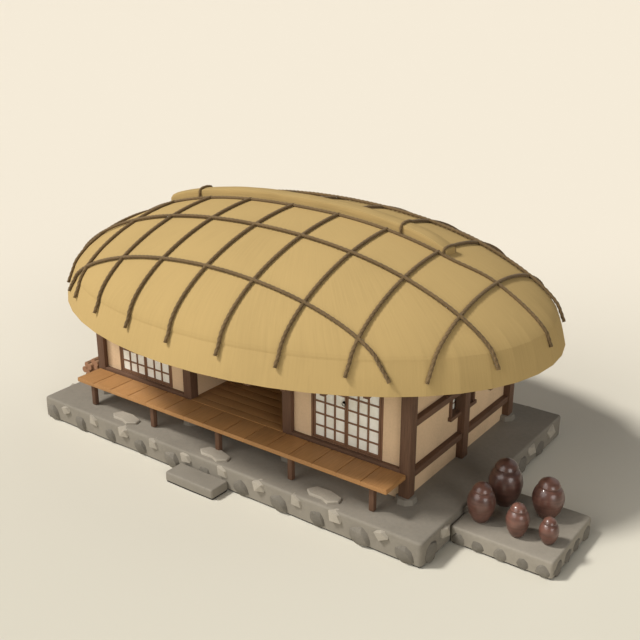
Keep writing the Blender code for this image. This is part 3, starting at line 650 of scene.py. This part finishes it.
class FARMHOUSE_OT_timber_frame(bpy.types.Operator):
    """Make the posts, plates, sills, rails and window frames, and finish the roof timbers"""

    bl_idname = "farmhouse.timber_frame"
    bl_label = "Timber Frame"

    def execute(self, context):
        for name, side in (("front_frame", -1), ("rear_frame", 1)):
            y = MIDDLE + side * POST_LINE
            parts = [((x - 0.1, y - 0.1, 0.551), (x + 0.1, y + 0.1, 2.79), 2, 0.014) for x in POSTS]
            parts.append(((-3.745, y - 0.08, PLATE[0]), (3.745, y + 0.08, PLATE[1]), 0, 0.012))
            if side < 0:
                parts += [((s * 1.31, -1.888, 0.90), (s * 3.548, -1.801, 1.05), 0, 0.01) for s in (1, -1)]
                parts.append(((-1.115, -1.888, 0.80), (1.115, -1.713, 0.952), 0, 0.012))
            else:
                for low, high in RAILS:
                    spans = ((-3.548, -1.31), (-1.115, 1.115), (1.31, 3.548))
                    parts += [((a, 1.991, low), (b, 2.068, high), 0, 0.008) for a, b in spans]
            timber(f"{name}_timbers", parts, name)
        for name, side in (("left_end_frame", -1), ("right_end_frame", 1)):
            near, back, face = 3.6105, 3.46, 3.655
            parts = [((side * 3.545, MIDDLE - 0.1, 0.451), (side * 3.745, MIDDLE + 0.1, 2.79), 2, 0.014),
                     ((side * 3.565, -1.692, PLATE[0]), (side * 3.725, 1.882, PLATE[1]), 1, 0.012)]
            parts += [((side * near, y[0], low), (side * 3.72, y[1], high), 1, 0.01)
                      for low, high in RAILS for y in ((-1.692, -0.003), (0.193, 1.882))]
            sill, head, reach = LIGHT
            ends = (MIDDLE - reach, MIDDLE + reach)
            parts += [((side * near, ends[0] - 0.03, sill), (side * 3.68, ends[1] + 0.03, sill + 0.07), 1, 0.006),
                      ((side * back, ends[0], sill + 0.005), (side * face, ends[1], sill + 0.068), 1, 0.004),
                      ((side * back, ends[0], head - 0.045), (side * face, ends[1], head), 1, 0.004)]
            parts += [((side * back, y, sill + 0.03), (side * face, y + 0.05, head - 0.02), 2, 0.004)
                      for y in (ends[0], ends[1] - 0.05)]
            timber(f"{name}_timbers", parts, name)
        parts = []
        for x in (-3.355, -1.678, 0.0, 1.678, 3.355):
            parts += [((x - 0.05, -2.42, 0.451), (x + 0.05, -2.32, 0.897), 2, 0.022),
                      ((x - 0.04, -2.40, 0.87), (x + 0.04, -1.95, 0.912), 1, 0.006)]
        parts.append(((-3.62, -1.993, 0.85), (3.62, -1.8935, 0.917), 0, 0.008))
        timber("veranda_timbers", parts, "veranda_frame")
        for side_name, side in (("left", -1), ("right", 1)):
            m = side * DOOR_MIDDLE
            sill, head = 1.0505, 2.6195
            parts = [((m - 0.735, -1.808, sill), (m - 0.695, -1.68, head), 2, 0.004),
                     ((m + 0.695, -1.808, sill), (m + 0.735, -1.68, head), 2, 0.004),
                     ((m - 0.70, -1.807, sill), (m + 0.70, -1.68, DOORWAY[0]), 0, 0.003),
                     ((m - 0.70, -1.807, DOORWAY[1]), (m + 0.70, -1.68, head), 0, 0.004)]
            timber(f"{side_name}_doorway_frame", parts, f"{side_name}_door_frame", "lattice_pine")
        dress("eaves", "smoked_pine_poles")
        dress("ridge_frame", "smoked_pine_poles")
        return {"FINISHED"}


class FARMHOUSE_OT_clay_walls(bpy.types.Operator):
    """Finish the clay walls and partitions"""

    bl_idname = "farmhouse.clay_walls"
    bl_label = "Clay Walls"

    def execute(self, context):
        for node in ("front_wall_left", "front_wall_right", "rear_wall", "left_end_wall", "right_end_wall",
                     "left_partition", "right_partition"):
            dress(node, "clay_plaster")
        return {"FINISHED"}


class FARMHOUSE_OT_paper_doors(bpy.types.Operator):
    """Make the four papered lattice leaves, each on its own body, and finish the ring pulls"""

    bl_idname = "farmhouse.paper_doors"
    bl_label = "Paper Doors"

    def execute(self, context):
        low, high = DOORWAY[0] + 0.008, DOORWAY[1] - 0.008
        for side_name, side in (("left", -1), ("right", 1)):
            middle = side * DOOR_MIDDLE
            for leaf_name, leaf in (("west", -1), ("east", 1)):
                body = f"{side_name}_door_{leaf_name}"
                heel, meet = middle + leaf * HEEL, middle + leaf * MEETING
                front, back = LEAF
                inner = (meet + leaf * 0.030, heel - leaf * 0.040)
                bm = bmesh.new()
                member(bm, (meet, front, low), (inner[0], back, high), 2, 0.003)
                member(bm, (heel, front, low), (inner[1], back, high), 2, 0.010)
                foot, head = low + 0.034, high - 0.05
                for z in ((low, foot), (head, high)):
                    member(bm, (inner[0], front + 0.001, z[0]), (inner[1], back - 0.001, z[1]), 0, 0.003)
                # The pivots that the heel turns on, in the frame's sockets
                pivot, hinge = 0.0098, (heel - leaf * 0.0175, (front + back) / 2)
                for z in ((DOORWAY[0] - 0.015, low + 0.01), (high - 0.01, DOORWAY[1] + 0.015)):
                    loft(bm, [ring_at(*hinge, pivot, pivot, level, 16) for level in z])
                lap = 0.004
                for face in member(bm, (inner[0] - leaf * lap, front + 0.018, foot - lap),
                                   (inner[1] + leaf * lap, front + 0.020, head + lap), 2, 0.0005):
                    face.material_index = 1
                piece(f"{body}_leaf", bm, ["lattice_pine", "mulberry_paper"], 50, body, [body])
                # Lattice: two bars up and five across, in front of the paper
                wide = (inner[1] - inner[0]) / 3
                tall = (high - low) / 6
                bars = [row(plank((0.034, 0.015, head - foot + 0.014), 0.003), "lattice_pine_slim", 2,
                            (inner[0] + wide, front + 0.0105, (foot + head) / 2), (wide, 0, 0)),
                        row(plank((abs(inner[1] - inner[0]) + 0.004, 0.013, 0.032), 0.003), "lattice_pine_slim",
                            5, (sum(inner) / 2, front + 0.0115, low + tall), (0, 0, tall), seed=4)]
                piece(f"{body}_lattice", bars, body=body)
            dress(f"{side_name}_ring_pull", "forged_iron")
        return {"FINISHED"}


class FARMHOUSE_OT_end_windows(bpy.types.Operator):
    """Finish the paper of the end windows and set their slats"""

    bl_idname = "farmhouse.end_windows"
    bl_label = "End Windows"

    def execute(self, context):
        sill, head, reach = LIGHT
        for name, side in (("left_window", -1), ("right_window", 1)):
            dress(f"{name}_paper", "mulberry_paper")
            step = (reach - 0.15) / 4
            slats = [row(plank((0.014, 0.014, head - sill - 0.11), 0.002), "lattice_pine_slim", 3,
                         (side * 3.5235, start + step, (sill + head + 0.025) / 2), (0, step, 0))
                     for start in (MIDDLE - reach + 0.05, MIDDLE + 0.10)]
            slats.append(row(plank((0.012, 2 * reach - 0.11, 0.014), 0.002), "lattice_pine_slim", 2,
                             (side * 3.5225, MIDDLE, sill + 0.07 + 0.118), (0, 0, 0.118), seed=5))
            piece(f"{name}_slats", slats)
        return {"FINISHED"}


class FARMHOUSE_OT_floors(bpy.types.Operator):
    """Lay the veranda's and the hall's boards, and finish the rooms' floors"""

    bl_idname = "farmhouse.floors"
    bl_label = "Floors"

    def execute(self, context):
        (x0, y0, z0), (x1, y1, z1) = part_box("veranda_deck")
        count = 15
        pitch = (x1 - x0) / count
        board = plank((pitch - looks().board_gap, y1 - y0, z1 - z0 - 0.002), 0.005)
        boards = row(board, "worn_pine_deck", count, (x0 + pitch / 2, (y0 + y1) / 2, (z0 + z1) / 2), (pitch, 0, 0),
                     roughen=0.0025, lump=0.3, seed=2)
        # Under the joints the boards meet, tongue in groove
        meeting = slab((x0 + 0.002, y0 + 0.003, z0 + 0.002), (x1 - 0.002, y1 - 0.003, z1 - 0.012), 0.003,
                       "worn_pine_deck")
        piece("veranda_boards", [boards, meeting], stands_for=["veranda_deck"])

        (_, y0, _), (x1, y1, z1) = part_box("hall_floor")
        z0 = z1 - 0.047
        inner, width, count = -1.6925, 0.2522, 14
        boards = row(plank((2 * x1 - 0.004, width - 0.0008, z1 - z0), 0.0008), "worn_pine_hall", count,
                     (0, inner + 0.004 + width / 2, (z0 + z1) / 2), (0, (y1 - inner) / count, 0), roughen=0.002,
                     lump=0.3, seed=6)
        # Between the posts the floor reaches the deck, with a pale edge strip that is a painted highlight
        half, edge = 1.112, y0 + 0.022
        mouth = slab((-half, edge, z0), (half, inner - 0.002, z1), 0.002, "worn_pine_hall")
        nosing = slab((-half, y0 + 0.002, z0), (half, edge, z1), 0.004, "worn_pine_nosing")
        joists = row(plank((2.28, 0.12, 0.152), 0.004), "smoked_pine_poles", 3, (0, -1.30, 0.877), (0, 1.375, 0))
        piece("hall_boards", [boards, mouth, nosing, joists], stands_for=["hall_floor"])
        for name in ("left_room_floor", "right_room_floor"):
            dress(name, "oiled_floor_paper")
        return {"FINISHED"}


def dome_level(t, crease=CREASE, rise=RISE):
    """Half length, half width and height of the dome at a share t of its rise."""
    b, a, z = crease
    return (a * (1 - t**LENGTHWISE[0]) ** LENGTHWISE[1], b * (1 - t**ACROSS[0]) ** ACROSS[1], z + rise * t)


def dome_height(x, y):
    """Height of the thatch over a point, y being taken from the house's middle."""
    low, high = 0.0, 1.0
    for _ in range(40):
        t = (low + high) / 2
        a, b, _z = dome_level(t)
        if (x / max(a, 1e-9)) ** 2 + (y / max(b, 1e-9)) ** 2 < 1:
            low = t
        else:
            high = t
    return CREASE[2] + RISE * low


def band_reach(z):
    """Half length and half width of the eave band at a height under the crease."""
    k = (z - EAVE[2]) / (CREASE[2] - EAVE[2])
    return EAVE[1] + (CREASE[1] - EAVE[1]) * k, EAVE[0] + (CREASE[0] - EAVE[0]) * k


def cap_rise(x):
    """Share of the cap's full height that is left at x, as it thins towards its right end."""
    k = max(0.0, 1 - (CAP_HALF - x) / 0.6)
    return 1 - 0.45 * k * k


class FARMHOUSE_OT_thatch(bpy.types.Operator):
    """Make the combed straw dome and its ridge cap"""

    bl_idname = "farmhouse.thatch"
    bl_label = "Thatch"

    def execute(self, context):
        rings = []
        for k in range(5):
            z = EAVE[2] + (CREASE[2] - EAVE[2]) * k / 5
            a, b = band_reach(z)
            bulge = 0.012 * math.sin(math.pi * k / 5)
            rings.append((a + bulge, b + bulge, z))
        steps = 30
        rings += [dome_level(math.sin(math.pi / 2 * k / steps) ** 1.25 * 0.9985) for k in range(steps + 1)]
        inner = [(INNER_EAVE[1], INNER_EAVE[0], INNER_EAVE[2])]
        inner += [dome_level(t, INNER_CREASE, INNER_RISE)
                  for t in (0.0, 0.1, 0.25, 0.42, 0.6, 0.78, 0.9, 0.97, 0.998)]
        levels = inner[::-1] + rings
        runs = [0.0]
        for (_, wide, low), (_, narrow, high) in zip(levels, levels[1:]):
            runs.append(runs[-1] + math.hypot(wide - narrow, low - high))
        bm = bmesh.new()
        loft(bm, [ring_at(0, MIDDLE, *level, FACETS) for level in levels],
             lambda r, i: (i * GIRTH / FACETS, runs[r]))
        piece("thatch_dome", bm, ["rice_straw_thatch"], 6, stands_for=["thatch_roof"])

        half = ((CAP_FOOT + 0.005, -0.10), (CAP_FOOT, -0.03), (0.159, 0.10), (0.154, 0.162), (0.146, 0.175),
                (0.128, 0.182), (0.060, 0.195))
        section = [(-y, h) for y, h in half] + [(0.0, 0.201)] + list(half[::-1])
        around = [0.0]
        for p, q in zip(section, section[1:]):
            around.append(around[-1] + math.dist(p, q))
        rings, total = [], 72
        for i in range(total + 1):
            x = CAP_HALF * (2 * i / total - 1)
            # The left end is combed round, the right end is cut square
            end = min(1.0, (CAP_HALF + x) / 0.14)
            tuck = 0.72 + 0.28 * math.sqrt(1 - (1 - end) ** 2)
            z = dome_height(x, 0.0)
            sway = 0.006 * noise.noise(Vector((x * 2.2, 0.3, 0.0)))
            tall = tuck * cap_rise(x)
            rings.append([(x, MIDDLE + y * tuck, z + sway + (h * tall if h > 0 else h)) for y, h in section])
        around.append(around[-1] + 0.5)
        bm = bmesh.new()
        loft(bm, rings, lambda r, i: (r * 2 * CAP_HALF / total, around[i]))
        piece("straw_ridge_cap", bm, ["rice_straw_cap"], 32, stands_for=["ridge_cap"])
        return {"FINISHED"}


def over_the_roof(fixed, lengthwise, ends, lift, shift=None):
    """Points of a rope over the dome, at a fixed x (or y from the middle), down to the height ends."""
    def reach(a, b):
        """How far the roof reaches along the rope's course, or None where the course misses it."""
        main, other = (a, b) if lengthwise else (b, a)
        return main * math.sqrt(1 - (fixed / other) ** 2) if abs(fixed) < other else None

    points = []
    for step in range(7):
        z = ends + (CREASE[2] - ends) * step / 6
        far = reach(*band_reach(z))
        if far is not None:
            # The loose end stands off the cut edge
            points.append((far + (0.02 if lengthwise else 0.035) * (1 - step / 6), z))
    for step in range(1, 60):
        a, b, z = dome_level(math.sin(math.pi / 2 * step / 60) ** 1.3)
        far = reach(a, b)
        if far is None:
            break
        points.append((far, z))
    edge = points[-1][0]
    for step in range(1, 12):
        s = edge * (1 - step / 11)
        z = dome_height(s, fixed) if lengthwise else dome_height(fixed, s)
        if z > points[-1][1] - 0.001:
            points.append((s, z))
    lifted = []
    for k, (s, z) in enumerate(points):
        before, after = points[max(0, k - 1)], points[min(len(points) - 1, k + 1)]
        along = Vector((after[0] - before[0], after[1] - before[1]))
        out = Vector((-along.y, along.x)).normalized() if along.length > 1e-6 else Vector((0, 1))
        if out.y < 0 or (abs(out.y) < 0.05 and out.x < 0):
            out = -out
        if k == len(points) - 1:
            out = Vector((0, 1))
        lifted.append((s + out.x * lift, z + out.y * lift))
    path = [(-s, z) for s, z in lifted] + lifted[-2::-1]
    if lengthwise:
        return [Vector((s, MIDDLE + fixed + (shift(s) if shift else 0.0), z)) for s, z in path]
    return [Vector((fixed, MIDDLE + s, z)) for s, z in path]


def rope_mesh(paths, radius):
    bm = bmesh.new()
    for path in paths:
        verts = [bm.verts.new(p) for p in path]
        for v, w in zip(verts, verts[1:]):
            bm.edges.new((v, w))
    return grown(plain_mesh(bm, "line"), rope_tree(), Radius=radius, Pitch=0.30, Spacing=0.035, Strand_Depth=0.14,
                 Material=finish("twisted_straw_rope"))


class FARMHOUSE_OT_roof_ropes(bpy.types.Operator):
    """Lay the net of twisted ropes, and the ties and foot ropes of the ridge cap"""

    bl_idname = "farmhouse.roof_ropes"
    bl_label = "Roof Ropes"

    def execute(self, context):
        radius = looks().rope_radius
        across = [over_the_roof(k * ACROSS_PITCH, False, ACROSS_ENDS[abs(k)], radius * 0.9) for k in range(-4, 5)]

        def foot(s):
            """How far the middle rope bows out round the foot of the cap."""
            k = min(1.0, max(0.0, (abs(s) - CAP_HALF) / 0.85))
            return (CAP_FOOT + 0.6 * radius) * (1 - k * k * (3 - 2 * k))

        over = [over_the_roof(j * ALONG_PITCH, True, ALONG_ENDS[abs(j)], radius * 1.5) for j in (-2, -1, 1, 2)]
        over.append(over_the_roof(0.0, True, ALONG_ENDS[0], radius * 0.55, lambda s: -foot(s)))
        piece("roof_rope_net", rope_mesh(across + over, radius), stands_for=["rope_net"])

        ties = []
        thin = radius * 0.8
        half = ((CAP_FOOT + 0.022, -0.04), (CAP_FOOT + 0.018, 0.04), (0.176, 0.13), (0.162, 0.180), (0.138, 0.202),
                (0.090, 0.216), (0.030, 0.222))
        for x in (-2.36, 2.36, CAP_HALF - 0.04):
            z = dome_height(x, 0.0)
            ties.append([Vector((x + 0.05 * y, MIDDLE + y, z + (h * cap_rise(x) if h > 0 else h)))
                         for y, h in [(-y, h) for y, h in half] + list(half[::-1])])
        behind = []
        for i in range(61):
            x = (CAP_HALF - 0.05) * (i / 30 - 1)
            behind.append(Vector((x, MIDDLE + foot(x), dome_height(x, foot(x)) + thin)))
        piece("ridge_ties", rope_mesh([*ties, behind], thin))
        return {"FINISHED"}


# Each jar: where it stands, its widest radius, its height with the lid, and the depth of its glaze
JARS = (
    (4.82, -1.40, 0.232, 0.70, 1.0),
    (4.91, -0.70, 0.287, 0.84, 0.72),
    (5.65, -0.66, 0.262, 0.72, 1.0),
    (5.48, -1.45, 0.187, 0.58, 1.08),
    (5.97, -1.36, 0.157, 0.46, 1.05),
)


def spun(profile, x, y):
    """A thrown shape: points (radius, height) spun about the vertical through x and y."""
    bm, steps = bmesh.new(), 48
    rings = [[bm.verts.new(p) for p in (ring_at(x, y, r, r, z, steps) if r > 1e-6 else [(x, y, z)])]
             for r, z in profile]
    for low, high in zip(rings, rings[1:]):
        for i in range(steps):
            j = (i + 1) % steps
            corners = (low[i % len(low)], low[j % len(low)], high[j % len(high)], high[i % len(high)])
            bm.faces.new(list(dict.fromkeys(corners)))
    return bm


def eased(points, per=5):
    """A smooth line through the points."""
    out = []
    for k in range(len(points) - 1):
        p0, p1 = points[max(0, k - 1)], points[k]
        p2, p3 = points[k + 1], points[min(len(points) - 1, k + 2)]
        for s in range(per):
            t = s / per
            out.append(tuple(
                0.5 * (2 * b + (c - a) * t + (2 * a - 5 * b + 4 * c - d) * t * t + (3 * b - a - 3 * c + d) * t**3)
                for a, b, c, d in zip(p0, p1, p2, p3)))
    out.append(points[-1])
    return out


class FARMHOUSE_OT_jars(bpy.types.Operator):
    """Make the five glazed storage jars and their lids"""

    bl_idname = "farmhouse.jars"
    bl_label = "Storage Jars"

    def execute(self, context):
        for number, (x, y, r, h, depth) in enumerate(JARS, 1):
            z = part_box(f"jar_{number}")[0][2]
            glaze = ash_glaze(f"brown_ash_glaze_{number}", depth).name
            outside = eased([(0.46, 0.0), (0.66, 0.09), (0.88, 0.26), (1.0, 0.45), (0.97, 0.58), (0.84, 0.71),
                             (0.655, 0.785)])
            wall = 0.02
            body = [(k * r, z + t * h)
                    for k, t in [(0.0, 0.0)] + outside + [(0.665, 0.792), (0.66, 0.80), (0.62, 0.80)]]
            body += [(k * r - wall, z + t * h) for k, t in outside[::-1] if t > 0.05]
            body += [(0.42 * r - wall, z + wall), (0.0, z + wall)]
            piece(f"glazed_jar_{number}", spun(body, x, y), [glaze], 50, stands_for=[f"jar_{number}"])
            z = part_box(f"jar_{number}_lid")[0][2]
            lid = [(0.0, 0.0), (0.66, 0.0), (0.69, 0.008), (0.69, 0.026)]
            lid += eased([(0.672, 0.036), (0.60, 0.085), (0.47, 0.135), (0.30, 0.170), (0.14, 0.195),
                          (0.0, 0.20)], 4)
            piece(f"glazed_lid_{number}", spun([(k * r, z + t * h) for k, t in lid], x, y), [glaze],
                  stands_for=[f"jar_{number}_lid"])
        return {"FINISHED"}


class FARMHOUSE_OT_firewood(bpy.types.Operator):
    """Stack the logs at the left end"""

    bl_idname = "farmhouse.firewood"
    bl_label = "Firewood"

    def execute(self, context):
        bm = bmesh.new()
        uv = bm.loops.layers.uv.verify()
        tint = bm.verts.layers.float.new("tint")
        pick = random.Random(11)
        radius, pitch, sides = 0.069, 0.137, 16
        for level, count in enumerate((4, 3, 4, 3, 2)):
            for i in range(count):
                x = -3.93 - (level % 2 / 2 + i) * pitch
                z = BANK + 0.0703 + level * pitch * math.sin(math.pi / 3)
                length = 0.92 + 0.05 * math.sin(3.1 * i + 1.7 * level)
                start = -1.80 + 0.03 * math.sin(2.3 * i + 2.9 * level)
                shape = [radius * (0.95 + 0.05 * pick.random()) for _ in range(sides)]
                own = pick.random()
                round_it = [(shape[j] * math.cos(math.tau * j / sides), shape[j] * math.sin(math.tau * j / sides))
                            for j in range(sides)]
                rings = [[(x + a, start + length * k / 4, z + b) for a, b in round_it] for k in range(5)]
                for v in sum(loft(bm, rings), []):
                    v[tint] = own
                bm.faces.ensure_lookup_table()
                for face in bm.faces[-2:]:
                    face.material_index = 1
                    for corner in face.loops:
                        corner[uv].uv = (corner.vert.co.x - x, corner.vert.co.z - z)
        sawn_ends("sawn_log_ends")
        piece("stacked_logs", bm, ["log_bark", "sawn_log_ends"], 50, stands_for=["firewood"])
        return {"FINISHED"}


class FARMHOUSE_OT_stage(bpy.types.Operator):
    """Set the pale floor, the soft lights and the camera"""

    bl_idname = "farmhouse.stage"
    bl_label = "Stage"

    def execute(self, context):
        bm = bmesh.new()
        bmesh.ops.create_grid(bm, x_segments=1, y_segments=1, size=400)
        mesh = plain_mesh(bm, "pale_floor")
        floor = bpy.data.objects.new("pale_floor", mesh)
        context.scene.collection.objects.link(floor)
        mat, tree, shader = painted("pale_floor_paint")
        where = add(tree, "ShaderNodeTexCoord").outputs["Object"]
        # Paler with distance along the view: painted light, a falloff of light across the floor
        deep = add(tree, "ShaderNodeVectorMath", operation="DOT_PRODUCT", i0=where, i1=(-0.5896, 0.8077, 0.0))
        ramp = add(tree, "ShaderNodeMapRange", Value=deep.outputs["Value"], From_Min=-9.0, From_Max=14.0,
                   interpolation_type="SMOOTHSTEP")
        tone = add(tree, "ShaderNodeMix", data_type="RGBA", i0=ramp.outputs[0], i6=(*linear("#cfcabb"), 1),
                   i7=(*linear("#e2dacb"), 1))
        tree.links.new(tone.outputs[2], shader.inputs["Base Color"])
        tune(shader, Roughness=1.0, Specular_IOR_Level=0.0)
        mesh.materials.append(mat)

        world = bpy.data.worlds.new("soft_daylight")
        world.use_nodes = True
        sky = world.node_tree.nodes["Background"]
        sky.inputs["Color"].default_value = (*linear("#fffaf4"), 1)
        sky.inputs["Strength"].default_value = 0.11
        context.scene.world = world
        # A key from the left, a broad one in front, a low one from the right and a weak one from behind
        for name, energy, angle, tint, way in (
            ("key", 2.95, 10, (1.0, 0.985, 0.955), (0.81, 0.59, -1.25)),
            ("soft_front", 1.15, 45, (1.0, 0.99, 0.97), (0.35, 0.85, -0.55)),
            ("low_side", 0.95, 30, (1.0, 0.99, 0.97), (-0.75, 0.45, -0.32)),
            ("broad_back", 0.35, 60, (1.0, 1.0, 1.0), (-0.25, -0.75, -0.65)),
        ):
            sun = bpy.data.lights.new(name, "SUN")
            sun.energy, sun.angle, sun.color = energy, math.radians(angle), tint
            lamp = bpy.data.objects.new(name, sun)
            lamp.rotation_euler = Vector(way).to_track_quat("-Z", "Y").to_euler()
            context.scene.collection.objects.link(lamp)

        camera = bpy.data.cameras.new("view")
        camera.lens, camera.sensor_width = 51.56, 36.0
        camera.clip_end = 1000
        eye = bpy.data.objects.new("view", camera)
        eye.location = (10.279, -13.308, 8.649)
        eye.rotation_euler = Euler((math.radians(69.316), 0, math.radians(36.13)))
        context.scene.collection.objects.link(eye)
        context.scene.camera = eye
        context.scene.view_settings.view_transform = "Standard"
        return {"FINISHED"}


STEPS = (
    FARMHOUSE_OT_ground_works, FARMHOUSE_OT_timber_frame, FARMHOUSE_OT_clay_walls, FARMHOUSE_OT_paper_doors,
    FARMHOUSE_OT_end_windows, FARMHOUSE_OT_floors, FARMHOUSE_OT_thatch, FARMHOUSE_OT_roof_ropes,
    FARMHOUSE_OT_jars, FARMHOUSE_OT_firewood, FARMHOUSE_OT_stage,
)


class FARMHOUSE_PT_panel(bpy.types.Panel):
    """Lists the farmhouse's looks and pieces"""

    bl_idname = "FARMHOUSE_PT_panel"
    bl_label = "Farmhouse"
    bl_space_type = "VIEW_3D"
    bl_region_type = "UI"
    bl_category = "Farmhouse"

    def draw(self, context):
        for name in FarmhouseLooks.__annotations__:
            self.layout.prop(context.scene.farmhouse_looks, name)
        for step in STEPS:
            self.layout.operator(step.bl_idname)


def register():
    for kind in (FarmhouseLooks, *STEPS, FARMHOUSE_PT_panel):
        bpy.utils.register_class(kind)
    bpy.types.Scene.farmhouse_looks = bpy.props.PointerProperty(
        name="Farmhouse Looks", description="Colours and sizes of the farmhouse", type=FarmhouseLooks)


def unregister():
    del bpy.types.Scene.farmhouse_looks
    for kind in (FARMHOUSE_PT_panel, *reversed(STEPS), FarmhouseLooks):
        bpy.utils.unregister_class(kind)


def main():
    register()
    for step in STEPS:
        group, name = step.bl_idname.split(".")
        getattr(getattr(bpy.ops, group), name)()
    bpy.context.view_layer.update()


if __name__ == "__main__":
    main()
